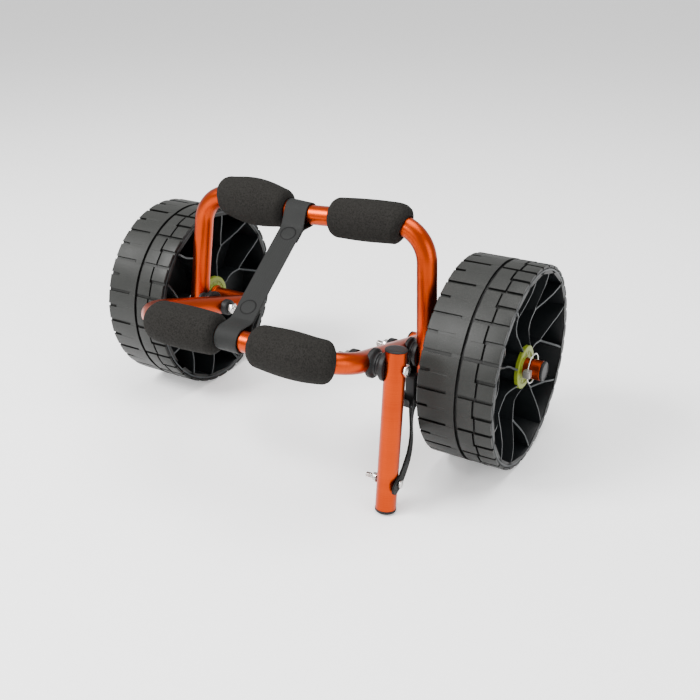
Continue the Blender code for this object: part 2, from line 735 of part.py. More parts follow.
def make_centre_strap(name):
    """The strap that joins both bars' middles, bent to the shallow V of each bar."""
    front = AXLE + FRONT_WAY * (FRONT_REACH - FRONT_BAR_DIP)
    rear = PIVOT + REAR_WAY * (REAR_REACH - REAR_BAR_DIP)
    along = (rear - front).normalized()
    length = (rear - front).length
    across = Vector((1.0, 0.0, 0.0))
    strap = plate(name, strap_outlines(length), STRAP_WIDTH)
    shape = bmesh.new()
    shape.from_mesh(strap.data)
    for level in (0.0, -STRAP_REAR_OFFSET):
        geometry = [*shape.verts, *shape.edges, *shape.faces]
        point = (0.0, 0.0, level)
        bmesh.ops.bisect_plane(shape, geom=geometry, plane_co=point, plane_no=(0.0, 0.0, 1.0))
    normal = across.cross(along)
    for vertex in shape.verts:
        run, height, side = vertex.co
        share = min(max(run / length, 0.0), 1.0)
        x = side + STRAP_REAR_OFFSET * share
        front_rise = FRONT_WAY * (FRONT_BAR_DIP * abs(x) / FRONT_HALF_WIDTH)
        rear_rise = REAR_WAY * (REAR_BAR_DIP * abs(x) / REAR_HALF_WIDTH)
        rise = front_rise.lerp(rear_rise, share)
        vertex.co = front + across * x + along * run + normal * height + rise
    shape.to_mesh(strap.data)
    shape.free()
    return strap


def lug_frame():
    """Where the limiter strap ends: the kickstand bolt's seat, the lug's slot and the strap's run."""
    bolt = at_x(HINGE + KICKSTAND_WAY * LIMITER_BOLT_ALONG, KICKSTAND_X + TUBE_RADIUS)
    web_x = PIVOT_FRONT_X + TUBE_RADIUS
    lug = at_x(PIVOT - Vector((0.0, 0.0, LUG_SLOT_DROP)), web_x + LUG_THICKNESS / 2)
    run = at_x(lug - bolt, 0.0).normalized()
    return bolt, lug, run


def make_lug_saddle(name, centre, line, seat_x, face_x):
    """The right front saddle, with the lug under it that holds the limiter strap."""
    saddle = make_saddle(name, centre, line, seat_x, face_x)
    low_x = PIVOT_FRONT_X + TUBE_RADIUS + GAP
    _, slot, run = lug_frame()
    share = HANGER_SHARE
    low = Vector((low_x, -LUG_FRONT * share, -LUG_TOP - HANGER_LAP))
    high = Vector((face_x, LUG_REAR * share, -SADDLE_WAIST * share))
    offset = at_x(centre, 0.0)
    hanger = box("hanger", low + offset, high + offset)
    low = Vector((low_x, -LUG_FRONT, -LUG_BOTTOM))
    high = Vector((low_x + LUG_THICKNESS, LUG_REAR, -LUG_TOP))
    body = box("lug", low + offset, high + offset)
    edges = body.modifiers.new("Edges", "BEVEL")
    edges.width = LUG_THICKNESS / 5
    edges.segments = 1
    body = bake(body)
    behind_bar = LUG_SLOT_BAR - LUG_FRONT + LUG_SLOT_WIDTH / 2
    middle = at_x(slot, low_x + LUG_THICKNESS / 2) + run * behind_bar
    corner = Vector((LUG_THICKNESS, LUG_SLOT_WIDTH / 2, LIMITER_WIDTH / 2 + GAP * 4))
    cutter = box("slot", -corner, corner)
    tilt = Matrix.Rotation(math.atan2(run.z, run.y), 4, "X")
    apply_place(cutter, Matrix.Translation(middle) @ tilt)
    body = boolean(body, cutter)
    hanger = boolean(hanger, body, "UNION")
    hanger = boolean(hanger, rod("seat", line[0], line[1], SEAT_RADIUS, TUBE_SIDES))
    return boolean(saddle, hanger, "UNION")


def make_limiter_strap(name):
    """The webbing from the kickstand's foot, folded round the front bar of the lug's slot."""
    bolt, slot, run = lug_frame()
    thick = LIMITER_THICKNESS
    clear = 2 * GAP
    seat_end = 2 * LIMITER_BOLT_RADIUS + LIMITER_SEAT_MARGIN
    low = PIVOT_FRONT_X + TUBE_RADIUS + GAP - clear - bolt.x
    high = low + LUG_THICKNESS + 2 * clear
    reach = at_x(slot - bolt, 0.0).dot(run)
    front = reach - (LUG_FRONT + LIMITER_WIDTH / 2 * run.z) / run.y - clear
    back = reach - LUG_FRONT + LUG_SLOT_BAR + clear
    neck = front - LUG_THICKNESS
    middle = (low + high) / 2
    outer = [
        (-LIMITER_TONGUE, clear),
        (seat_end, clear),
        (neck, middle - thick),
        (front, low - thick),
        (back + thick, low - thick),
        (back + thick, high + thick),
        (front, high + thick),
        (neck, middle + thick),
        (seat_end, clear + thick),
        (-LIMITER_TONGUE, clear + thick),
    ]
    eye = [(neck + thick * 2, middle), (front, low), (back, low), (back, high), (front, high)]
    strap = plate(name, [outer, eye], LIMITER_WIDTH)
    across = Vector((1.0, 0.0, 0.0))
    place = Matrix((run, across, run.cross(across))).transposed().to_4x4()
    apply_place(strap, Matrix.Translation(bolt) @ place)
    reach = across * DRILL_REACH
    return drill(strap, bolt - reach, bolt + reach, LIMITER_BOLT_RADIUS + GAP)


def make_lynch_pin(name, sign):
    """A lynch pin along Y: its head lies in front of the axle and has a hole along Z for the ring."""
    seat = -(TUBE_RADIUS + GAP)
    centre = Vector((sign * LYNCH_X, seat - LYNCH_HEAD / 2, AXLE.z))
    half = Vector((LYNCH_HEAD / 2, LYNCH_HEAD / 2, LYNCH_HEAD / 2))
    head = box(name, centre - half, centre + half)
    edges = head.modifiers.new("Edges", "BEVEL")
    edges.width = LYNCH_HEAD / 6
    edges.segments = 1
    head = bake(head)
    tip = centre + Vector((0.0, LYNCH_HEAD / 2 + 2 * TUBE_RADIUS + LYNCH_PIN_TIP, 0.0))
    head = boolean(head, rod("pin", centre, tip, LYNCH_PIN_RADIUS), "UNION")
    sagitta = LYNCH_RING_RADIUS - math.sqrt(LYNCH_RING_RADIUS**2 - (LYNCH_HEAD / 2) ** 2)
    up = Vector((0.0, 0.0, LYNCH_HEAD))
    return drill(head, centre - up, centre + up, LYNCH_WIRE_RADIUS + sagitta + GAP), centre


def make_ring(name, centre):
    """A lynch pin's ring, in the plane across the axle, hung from the pin's head."""
    bpy.ops.mesh.primitive_torus_add(
        major_segments=20,
        minor_segments=5,
        major_radius=LYNCH_RING_RADIUS,
        minor_radius=LYNCH_WIRE_RADIUS,
    )
    ring = bpy.context.object
    ring.name = name
    place = Matrix.Translation(centre + Vector((0.0, LYNCH_RING_RADIUS, 0.0)))
    return apply_place(ring, place @ Matrix.Rotation(math.pi / 2, 4, "Y"))


class Cart:
    """Holds the collection, the materials and the empties, and puts each finished piece in them."""

    def __init__(self):
        self.parts = new_collection("watercraft_cart")
        self.root = new_empty("cart", Vector((0.0, 0.0, 0.0)))
        self.rear_pivot = new_empty("rear_frame_pivot", PIVOT, self.root)
        self.hinge = new_empty("kickstand_hinge", at_x(HINGE, KICKSTAND_X), self.root)
        self.orange = new_material("orange_anodised", (0.72, 0.16, 0.03), 0.32, 0.85)
        self.foam = new_material("charcoal_foam", (0.045, 0.043, 0.04), 0.95)
        self.webbing = new_material("strap_webbing", (0.05, 0.05, 0.052), 0.8)
        self.rubber = new_material("tread_rubber", (0.075, 0.077, 0.073), 0.75)
        self.moulding = new_material("rim_plastic", (0.02, 0.022, 0.024), 0.5)
        self.lime = new_material("lime_plastic", (0.46, 0.53, 0.06), 0.45)
        self.black = new_material("black_plastic", (0.025, 0.025, 0.027), 0.45)
        self.grey = new_material("grey_cap", (0.2, 0.2, 0.2), 0.5)
        self.steel = new_material("stainless_steel", (0.6, 0.6, 0.6), 0.25, 1.0)

    def add(self, obj, name, material, parent, matrix=None):
        """Names a piece, gives it its material and parent, and shades it."""
        obj.name = name
        obj.data.name = name
        for owner in list(obj.users_collection):
            owner.objects.unlink(obj)
        self.parts.objects.link(obj)
        obj.data.materials.clear()
        obj.data.materials.append(material)
        if matrix:
            obj.matrix_world = matrix
        obj.data.shade_smooth()
        obj.data.set_sharp_from_angle(angle=math.radians(32.0))
        attach(obj, parent)
        return obj

    def build_front_frame(self):
        """The front U tube, its pads and the pivot's fixed hardware."""
        path = bar_path(front_leg_line, FRONT_WAY, FRONT_BAR_DIP)
        frame = tube("front_frame_tube", path)
        for sign in SIDES.values():
            axle = at_x(AXLE, sign * (FRONT_HALF_WIDTH_AT_AXLE - 3 * TUBE_RADIUS))
            end = at_x(AXLE, sign * (FRONT_HALF_WIDTH_AT_AXLE + 3 * TUBE_RADIUS))
            frame = drill(frame, axle, end, TUBE_RADIUS + GAP, AXLE_SIDES)
            x = sign * PIVOT_FRONT_X
            frame = drill_along_x(frame, PIVOT, x, BOLT_RADIUS)
        frame = drill_along_x(frame, HINGE, HINGE_FRONT_X, BOLT_RADIUS)
        self.add(frame, "front_frame_tube", self.orange, self.root)
        for side, sign in SIDES.items():
            name = "front_" + side
            pad = make_pad(name, path, PAD_STARTS[name], sign)
            self.add(pad, "foam_pad_" + name, self.foam, self.root)

    def build_rear_frame(self):
        """The rear U tube with its pads, foot plugs and its own saddle washers."""
        path = bar_path(rear_leg_line, REAR_WAY, REAR_BAR_DIP)
        frame = tube("rear_frame_tube", path)
        for sign in SIDES.values():
            frame = drill_along_x(frame, PIVOT, sign * PIVOT_REAR_X, BOLT_RADIUS)
        self.add(frame, "rear_frame_tube", self.orange, self.rear_pivot)
        for side, sign in SIDES.items():
            name = "rear_" + side
            pad = make_pad(name, path, PAD_STARTS[name], sign)
            self.add(pad, "foam_pad_" + name, self.foam, self.rear_pivot)
            low, high = rear_leg_line(sign)
            way = (low - high).normalized()
            plug = make_cap("plug", TUBE_RADIUS, KICKSTAND_CAP_THICKNESS, PLUG_DEPTH)
            place = facing(low + way * GAP, way)
            self.add(plug, "rear_leg_plug_" + side, self.black, self.rear_pivot, place)

    def build_pivots(self):
        """Bolts, nuts, washers and saddle washers where the rear frame turns on the front legs."""
        web = PIVOT_FRONT_X + TUBE_RADIUS
        middle = web + PIVOT_LEG_GAP / 2
        for side, sign in SIDES.items():
            front_line = front_leg_line(sign)
            ends = (sign * (web - SADDLE_WRAP), sign * (middle - RUNNING_GAP / 2))
            if side == "right":
                front = make_lug_saddle("saddle", PIVOT, front_line, *ends)
            else:
                front = make_saddle("saddle", PIVOT, front_line, *ends)
            self.add(front, "pivot_saddle_front_" + side, self.black, self.root)
            outer = web + PIVOT_LEG_GAP
            ends = (sign * (outer + SADDLE_WRAP), sign * (middle + RUNNING_GAP / 2))
            rear = make_saddle("saddle", PIVOT, rear_leg_line(sign), *ends)
            self.add(rear, "pivot_saddle_rear_" + side, self.black, self.rear_pivot)
            head = PIVOT_REAR_X + TUBE_RADIUS + abs(REAR_SPLAY) * HEX_ACROSS_FLATS / 2 + GAP
            inner = PIVOT_FRONT_X - TUBE_RADIUS
            washer_end = inner - WASHER_THICKNESS
            self.add_inner_hardware("pivot", "_" + side, PIVOT, front_line, inner, washer_end, head, sign)

    def add_inner_hardware(self, name, suffix, centre, line, inner, washer_end, head, sign):
        """A bolt through a front leg, with the round washer and the nut on the leg's inner side."""
        ends = (sign * washer_end, sign * (inner + WASHER_SEAT))
        washer = rod("washer", at_x(centre, ends[0]), at_x(centre, ends[1]), WASHER_RADIUS, SADDLE_STEPS)
        washer = seat_on_tube(washer, centre, line, *ends)
        self.add(washer, name + "_washer" + suffix, self.black, self.root)
        start = sign * (washer_end - GAP)
        end = start - sign * NUT_HEIGHT
        nut = make_nut("nut", centre, *sorted((start, end)))
        self.add(nut, name + "_nut" + suffix, self.steel, self.root)
        bolt = make_bolt("bolt", centre, sign * head, end - sign * BOLT_POINT)
        self.add(bolt, name + "_bolt" + suffix, self.steel, self.root)

    def build_axles_and_wheels(self):
        """Stub axles with their caps, and each wheel with its tyre, bushes, lynch pin and ring."""
        half = WHEEL_WIDTH / 2
        for side, sign in SIDES.items():
            self.add(make_axle("axle"), "stub_axle_" + side, self.orange, self.root, along_x(AXLE, sign))
            cap_x = AXLE_END_X - AXLE_CAP_THICKNESS
            cap = make_cap("cap", TUBE_RADIUS, AXLE_CAP_THICKNESS, AXLE_CAP_DEPTH)
            place = along_x(at_x(AXLE, sign * cap_x), sign)
            self.add(cap, "axle_cap_" + side, self.grey, self.root, place)
            start = FRONT_HALF_WIDTH_AT_AXLE - TUBE_RADIUS - AXLE_INNER_OVERHANG - GAP
            plug = make_cap("plug", TUBE_RADIUS, KICKSTAND_CAP_THICKNESS, PLUG_DEPTH)
            place = along_x(at_x(AXLE, sign * start), -sign)
            self.add(plug, "axle_plug_" + side, self.black, self.root, place)

            hub = new_empty("wheel_axis_" + side, at_x(AXLE, sign * WHEEL_MIDDLE_X), self.root)
            turn = LEFT_WHEEL_TURN if side == "left" else 0.0
            place = along_x(at_x(AXLE, sign * WHEEL_MIDDLE_X))
            place = place @ Matrix.Rotation(turn + math.pi / 2, 4, "Z")
            self.add(make_rim("rim"), "wheel_rim_" + side, self.moulding, hub, place)
            self.add(make_tyre("tyre"), "tyre_" + side, self.rubber, hub, place)
            depth = half - BUSH_FACE_DEPTH - BUSH_FLANGE_THICKNESS
            for face, face_sign in (("outer", sign), ("inner", -sign)):
                seat = at_x(AXLE, sign * WHEEL_MIDDLE_X + face_sign * depth)
                name = "hub_bush_" + face + "_" + side
                self.add(make_bush("bush"), name, self.lime, hub, along_x(seat, face_sign))

            pin, centre = make_lynch_pin("pin", sign)
            slide = new_empty("lynch_pin_slide_" + side, centre, self.root)
            self.add(pin, "lynch_pin_" + side, self.steel, slide)
            self.add(make_ring("ring", centre), "lynch_ring_" + side, self.steel, slide)

    def build_kickstand(self):
        """The kickstand with its caps, its hinge on the right front leg and its foot's fasteners."""
        tube_top, tube_foot, top, foot = kickstand_line()
        stand = tube("kickstand_tube", [tube_top, tube_foot])
        stand = drill_along_x(stand, HINGE, KICKSTAND_X, BOLT_RADIUS)
        bolt_line = HINGE + KICKSTAND_WAY * LIMITER_BOLT_ALONG
        stand = drill_along_x(stand, bolt_line, KICKSTAND_X, LIMITER_BOLT_RADIUS)
        self.add(stand, "kickstand_tube", self.orange, self.hinge)
        cap = make_cap("cap", CAP_RADIUS, KICKSTAND_CAP_THICKNESS, PLUG_DEPTH)
        place = facing(tube_top - KICKSTAND_WAY * GAP, -KICKSTAND_WAY)
        self.add(cap, "kickstand_top_cap", self.black, self.hinge, place)
        cap = make_cap("cap", CAP_RADIUS, FOOT_CAP_THICKNESS, PLUG_DEPTH)
        place = facing(tube_foot + KICKSTAND_WAY * GAP, KICKSTAND_WAY)
        self.add(cap, "kickstand_foot_cap", self.black, self.hinge, place)

        web = HINGE_FRONT_X + TUBE_RADIUS
        middle = web + KICKSTAND_LEG_GAP / 2
        line = front_leg_line(1)
        front = make_saddle("saddle", HINGE, line, web - SADDLE_WRAP, middle - RUNNING_GAP / 2)
        self.add(front, "kickstand_saddle_front", self.black, self.root)
        outer = web + KICKSTAND_LEG_GAP + SADDLE_WRAP
        stand_line = (tube_top, tube_foot)
        rear = make_saddle("saddle", HINGE, stand_line, outer, middle + RUNNING_GAP / 2)
        self.add(rear, "kickstand_saddle_rear", self.black, self.hinge)
        inner = HINGE_FRONT_X - TUBE_RADIUS
        head = KICKSTAND_X + TUBE_RADIUS + GAP
        washer_end = inner - WASHER_THICKNESS
        self.add_inner_hardware("kickstand", "", HINGE, line, inner, washer_end, head, 1)

    def build_limiter(self):
        """The strap that stops the kickstand from swinging forwards, with its bolt and nut."""
        strap = make_limiter_strap("strap")
        self.add(strap, "limiter_strap", self.webbing, self.hinge)
        centre = HINGE + KICKSTAND_WAY * LIMITER_BOLT_ALONG
        flats = LIMITER_HEX_ACROSS_FLATS
        head = KICKSTAND_X + TUBE_RADIUS + LIMITER_THICKNESS + 3 * GAP
        start = KICKSTAND_X - TUBE_RADIUS - GAP
        washer_end = start - LIMITER_STANDOFF
        ends = (at_x(centre, washer_end), at_x(centre, start))
        washer = rod("washer", *ends, LIMITER_WASHER_RADIUS, SADDLE_STEPS)
        washer = drill_along_x(washer, centre, start, LIMITER_BOLT_RADIUS)
        self.add(washer, "limiter_washer", self.steel, self.hinge)
        end = washer_end - GAP - LIMITER_NUT_HEIGHT
        nut = make_nut("nut", centre, end, washer_end - GAP, LIMITER_BOLT_RADIUS, flats)
        self.add(nut, "limiter_nut", self.steel, self.hinge)
        sizes = (LIMITER_BOLT_RADIUS, flats, LIMITER_HEAD_HEIGHT)
        bolt = make_bolt("bolt", centre, head, end - BOLT_POINT, *sizes)
        self.add(bolt, "limiter_bolt", self.steel, self.hinge)

    def centre_on_floor(self):
        """Moves the whole cart so that the origin lies under the middle of its box."""
        bpy.context.view_layer.update()
        corners = []
        for obj in self.parts.objects:
            corners += [obj.matrix_world @ vertex.co for vertex in obj.data.vertices]
        low = min(corner.y for corner in corners)
        high = max(corner.y for corner in corners)
        self.root.location.y = -(low + high) / 2
        bpy.context.view_layer.update()


def main():
    """Builds the cart and prints where its joints lie."""
    clear_scene()
    cart = Cart()
    cart.build_front_frame()
    cart.build_rear_frame()
    cart.build_pivots()
    cart.build_axles_and_wheels()
    cart.build_kickstand()
    cart.build_limiter()
    strap = make_centre_strap("strap")
    cart.add(strap, "centre_strap", cart.webbing, cart.root)
    cart.centre_on_floor()
    for obj in bpy.data.objects:
        if obj.type == "EMPTY":
            place = obj.matrix_world.translation
            print(f"{obj.name}: {place.x:.5f} {place.y:.5f} {place.z:.5f}")


if __name__ == "__main__":
    main()
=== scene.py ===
"""Watercraft cart: the looks of its tubes, foam, webbing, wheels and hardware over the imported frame."""

import logging
import math
from collections.abc import Callable, Sequence
from dataclasses import dataclass
from enum import Enum

import bmesh
import bpy
from mathutils import Matrix, Vector, noise


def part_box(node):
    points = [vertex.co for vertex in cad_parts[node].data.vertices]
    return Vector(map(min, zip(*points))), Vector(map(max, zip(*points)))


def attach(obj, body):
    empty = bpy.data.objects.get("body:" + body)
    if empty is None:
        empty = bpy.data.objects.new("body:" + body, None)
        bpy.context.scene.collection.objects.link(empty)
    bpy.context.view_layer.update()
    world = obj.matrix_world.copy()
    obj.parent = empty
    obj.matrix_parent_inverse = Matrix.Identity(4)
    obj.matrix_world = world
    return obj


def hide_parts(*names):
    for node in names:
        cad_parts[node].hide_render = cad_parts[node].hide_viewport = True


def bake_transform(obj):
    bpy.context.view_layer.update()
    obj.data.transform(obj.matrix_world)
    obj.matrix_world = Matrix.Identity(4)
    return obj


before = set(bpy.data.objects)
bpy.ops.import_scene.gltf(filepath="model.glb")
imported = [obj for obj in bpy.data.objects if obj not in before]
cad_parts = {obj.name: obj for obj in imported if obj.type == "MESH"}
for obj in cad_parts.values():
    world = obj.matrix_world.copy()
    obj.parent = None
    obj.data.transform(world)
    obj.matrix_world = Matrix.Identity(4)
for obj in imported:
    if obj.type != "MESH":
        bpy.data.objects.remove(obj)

LOG = logging.getLogger("watercraft_cart")

# The cart's shared lines, in metres about the axle
TUBE = 0.0125
AXLE = Vector((0.0, 0.06516, 0.130))
FRONT_WAY = Vector((0.0, -math.cos(math.radians(15.9)), math.sin(math.radians(15.9))))
REAR_WAY = Vector((0.0, math.sin(math.radians(5.1)), math.cos(math.radians(5.1))))
STAND_WAY = Vector((0.0, -math.sin(math.radians(5.3)), -math.cos(math.radians(5.3))))
PIVOT_UP = 0.0682
HINGE_UP = 0.183
PIVOT = AXLE + FRONT_WAY * PIVOT_UP
HINGE = AXLE + FRONT_WAY * HINGE_UP
FRONT_LOW_HALF = 0.138
FRONT_TOP_HALF = 0.1577
FRONT_REACH = 0.2475
REAR_LOW_HALF = 0.17663
REAR_TOP_HALF = 0.1642
REAR_REACH = 0.1587
MOULDED_EDGE = 0.00045
RIGHTWARDS = Vector((1.0, 0.0, 0.0))


class Side(Enum):
    """The two sides of the cart, with the sign of their X."""

    LEFT = -1
    RIGHT = 1

    @property
    def word(self) -> str:
        """The side's name as the frame's nodes write it."""
        return self.name.lower()


class Slot(Enum):
    """The record's material slots."""

    TUBE = "orange_tube"
    FOAM = "foam"
    WEBBING = "webbing"
    TREAD = "tread"
    RIM = "rim"
    LIME = "lime_bush"
    CAP = "grey_cap"
    BLACK = "black_plastic"
    STEEL = "steel"


def at_x(point: Vector, x: float) -> Vector:
    """A point moved to another X."""
    return Vector((x, point.y, point.z))


def along_x(position: Vector, sign: float = 1.0) -> Matrix:
    """The placing that turns local Z along X, or against it."""
    return Matrix.Translation(position) @ Matrix.Rotation(sign * math.pi / 2, 4, "Y")


def facing(position: Vector, way: Vector) -> Matrix:
    """The placing that turns local Z along a direction."""
    turn = Vector((0.0, 0.0, 1.0)).rotation_difference(way.normalized())
    return Matrix.Translation(position) @ turn.to_matrix().to_4x4()


def rounded_path(corners: Sequence[Vector], radii: Sequence[float], steps: int) -> list[Vector]:
    """Straight runs whose inner corners are arcs.

    Args:
        corners: The path's ends and corners in order.
        radii: The radius of the arc at each inner corner.
        steps: The number of chords in each arc.

    Returns:
        The points along the path.
    """
    path = [corners[0]]
    for before, corner, after, radius in zip(corners, corners[1:], corners[2:], radii):
        back = (before - corner).normalized()
        ahead = (after - corner).normalized()
        half = back.angle(ahead) / 2
        centre = corner + (back + ahead).normalized() * (radius / math.sin(half))
        first = corner + back * (radius / math.tan(half)) - centre
        normal = back.cross(ahead).normalized()
        for step in range(steps + 1):
            turn = Matrix.Rotation((2 * half - math.pi) * step / steps, 3, normal)
            path.append(centre + turn @ first)
    path.append(corners[-1])
    return path


def smoothed(points: Sequence[Vector], rounds: int = 2) -> list[Vector]:
    """Cuts a line's corners off, round after round, and keeps its two ends.

    Args:
        points: The line.
        rounds: How many times its corners are cut.

    Returns:
        The smoother line.
    """
    line = list(points)
    for _ in range(rounds):
        cut = [line[0]]
        for before, after in zip(line, line[1:]):
            cut += [before.lerp(after, 0.25), before.lerp(after, 0.75)]
        line = [*cut, line[-1]]
    return line


class Line:
    """A path with its lengths, so that a place on it is found by its distance from the start."""

    def __init__(self, points: Sequence[Vector]) -> None:
        """Measures the points' distances along the path.

        Args:
            points: The path.
        """
        self.points = list(points)
        self.runs = [0.0]
        for before, after in zip(self.points, self.points[1:]):
            self.runs.append(self.runs[-1] + (after - before).length)

    @property
    def length(self) -> float:
        """The whole length of the path."""
        return self.runs[-1]

    def at(self, run: float) -> Vector:
        """The point at a distance from the start, carried on straight past either end.

        Args:
            run: The distance.

        Returns:
            The point.
        """
        index = 0
        while index < len(self.runs) - 2 and self.runs[index + 1] < run:
            index += 1
        span = max(self.runs[index + 1] - self.runs[index], 1e-9)
        share = (run - self.runs[index]) / span
        return self.points[index].lerp(self.points[index + 1], share)

    def way(self, run: float, reach: float = 0.0012) -> Vector:
        """The path's direction at a distance from the start."""
        return (self.at(run + reach) - self.at(run - reach)).normalized()


# ---- Node groups and finishes


class Graph:
    """A node tree with short calls that add nodes and join their sockets."""

    def __init__(self, tree: bpy.types.NodeTree) -> None:
        """Keeps the tree that the calls work on."""
        self.tree = tree

    def add(self, kind: str, inputs: dict | None = None, **settings: object) -> bpy.types.Node:
        """Adds a shader node.

        Args:
            kind: The node's type without its prefix.
            inputs: Sockets by name or number, each with a value or the socket that feeds it.
            settings: The node's own properties.

        Returns:
            The new node.
        """
        node = self.tree.nodes.new("ShaderNode" + kind)
        for name, value in settings.items():
            setattr(node, name, value)
        for name, value in (inputs or {}).items():
            if isinstance(value, bpy.types.NodeSocket):
                self.tree.links.new(value, node.inputs[name])
            else:
                node.inputs[name].default_value = value
        return node

    def math(self, operation: str, first: object, second: object = 0.0) -> bpy.types.NodeSocket:
        """A Math node's result."""
        return self.add("Math", {0: first, 1: second}, operation=operation).outputs[0]

    def mix(self, share: object, first: object, second: object) -> bpy.types.NodeSocket:
        """Two colours mixed by a share.

        Args:
            share: From 0, the first colour, to 1, the second.
            first: A colour or a socket.
            second: A colour or a socket.

        Returns:
            The mixed colour's socket.
        """
        node = self.add("Mix", {"Factor": share}, data_type="RGBA")
        for socket, value in ((node.inputs[6], first), (node.inputs[7], second)):
            if isinstance(value, bpy.types.NodeSocket):
                self.tree.links.new(value, socket)
            else:
                socket.default_value = (*value, 1.0)
        return node.outputs[2]

    def ranged(
        self, value: object, low: float, high: float, first: float, last: float
    ) -> bpy.types.NodeSocket:
        """A value carried from one range to another and held inside it.

        Args:
            value: The value's socket.
            low: The start of its own range.
            high: The end of its own range.
            first: What the start becomes.
            last: What the end becomes.

        Returns:
            The new value's socket.
        """
        inputs = {"Value": value, "From Min": low, "From Max": high, "To Min": first, "To Max": last}
        return self.add("MapRange", inputs).outputs[0]

    def group(self, tree: bpy.types.NodeTree, **inputs: object) -> bpy.types.Node:
        """Places a node group, its inputs named with underscores for spaces.

        Args:
            tree: The group.
            inputs: A value or a socket for each named input.

        Returns:
            The placed node.
        """
        node = self.tree.nodes.new("ShaderNodeGroup")
        node.node_tree = tree
        for name, value in inputs.items():
            socket = node.inputs[name.replace("_", " ")]
            if isinstance(value, bpy.types.NodeSocket):
                self.tree.links.new(value, socket)
            else:
                socket.default_value = value
        return node


class Effect(Enum):
    """The shared surface effects, each one node group."""

    GRAIN = "surface_grain"
    WEAVE = "webbing_weave"
    DUST = "settled_dust"


EFFECTS: dict[Effect, bpy.types.NodeTree] = {}


def new_group(
    effect: Effect, inputs: dict[str, str], outputs: dict[str, str]
) -> tuple[Graph, bpy.types.Node]:
    """Starts a node group.

    Args:
        effect: The effect that the group makes.
        inputs: Its input sockets' names and kinds.
        outputs: Its output sockets' names and kinds.

    Returns:
        The group's graph and its input node.
    """
    tree = bpy.data.node_groups.new(effect.value, "ShaderNodeTree")
    for direction, sockets in (("INPUT", inputs), ("OUTPUT", outputs)):
        for name, kind in sockets.items():
            tree.interface.new_socket(name, in_out=direction, socket_type="NodeSocket" + kind)
    EFFECTS[effect] = tree
    return Graph(tree), tree.nodes.new("NodeGroupInput")


def close_group(graph: Graph, **outputs: bpy.types.NodeSocket) -> None:
    """Joins a group's results to its outputs."""
    end = graph.tree.nodes.new("NodeGroupOutput")
    for name, socket in outputs.items():
        graph.tree.links.new(socket, end.inputs[name])


def make_effects() -> None:
    """Builds the shared node groups once."""
    graph, given = new_group(
        Effect.GRAIN,
        {"Vector": "Vector", "Scale": "Float", "Depth": "Float", "Height": "Float"},
        {"Value": "Float", "Broad": "Float", "Normal": "Vector"},
    )
    fine = graph.add(
        "TexNoise",
        {
            "Vector": given.outputs["Vector"], "Scale": given.outputs["Scale"], "Detail": 3.0,
            "Roughness": 0.62,
        },
    )
    cells = graph.add(
        "TexVoronoi", {"Vector": given.outputs["Vector"], "Scale": given.outputs["Scale"]}, feature="F1"
    )
    broad = graph.add("TexNoise", {"Vector": given.outputs["Vector"], "Scale": 14.0, "Detail": 2.0})
    level = graph.math(
        "ADD", graph.math("MULTIPLY", fine.outputs["Fac"], 0.6),
        graph.math("MULTIPLY", cells.outputs["Distance"], 0.4),
    )
    level = graph.math("ADD", level, given.outputs["Height"])
    bump = graph.add("Bump", {"Strength": given.outputs["Depth"], "Distance": 0.0006, "Height": level})
    close_group(graph, Value=fine.outputs["Fac"], Broad=broad.outputs["Fac"], Normal=bump.outputs["Normal"])

    graph, given = new_group(
        Effect.WEAVE,
        {"Run": "Float", "Across": "Float", "Pitch": "Float", "Depth": "Float"},
        {"Shade": "Float", "Normal": "Vector"},
    )
    run = graph.math("MULTIPLY", given.outputs["Run"], given.outputs["Pitch"])
    across = graph.math("MULTIPLY", given.outputs["Across"], given.outputs["Pitch"])
    lean = graph.math("ADD", run, graph.math("PINGPONG", across, 1.0))
    rib = graph.math("ABSOLUTE", graph.math("SINE", graph.math("MULTIPLY", lean, math.pi)))
    warp = graph.math("ABSOLUTE", graph.math("SINE", graph.math("MULTIPLY", across, math.pi)))
    cloth = graph.math("MULTIPLY", graph.math("ADD", rib, 0.5), graph.math("ADD", warp, 0.6))
    bump = graph.add("Bump", {"Strength": given.outputs["Depth"], "Distance": 0.0003, "Height": cloth})
    close_group(graph, Shade=graph.math("MULTIPLY", cloth, 0.42), Normal=bump.outputs["Normal"])

    graph, given = new_group(Effect.DUST, {"Vector": "Vector", "Amount": "Float"}, {"Mask": "Float"})
    specks = graph.add("TexNoise", {"Vector": given.outputs["Vector"], "Scale": 900.0, "Detail": 1.0})
    patches = graph.add("TexNoise", {"Vector": given.outputs["Vector"], "Scale": 22.0, "Detail": 3.0})
    up = graph.add("NewGeometry").outputs["Normal"]
    lift = graph.add("SeparateXYZ", {0: up}).outputs["Z"]
    share = graph.math(
        "MULTIPLY", graph.ranged(specks.outputs["Fac"], 0.45, 0.75, 0.0, 1.0), patches.outputs["Fac"]
    )
    share = graph.math("MULTIPLY", share, graph.ranged(lift, -0.2, 0.9, 0.25, 1.0))
    close_group(graph, Mask=graph.math("MULTIPLY", share, given.outputs["Amount"]))


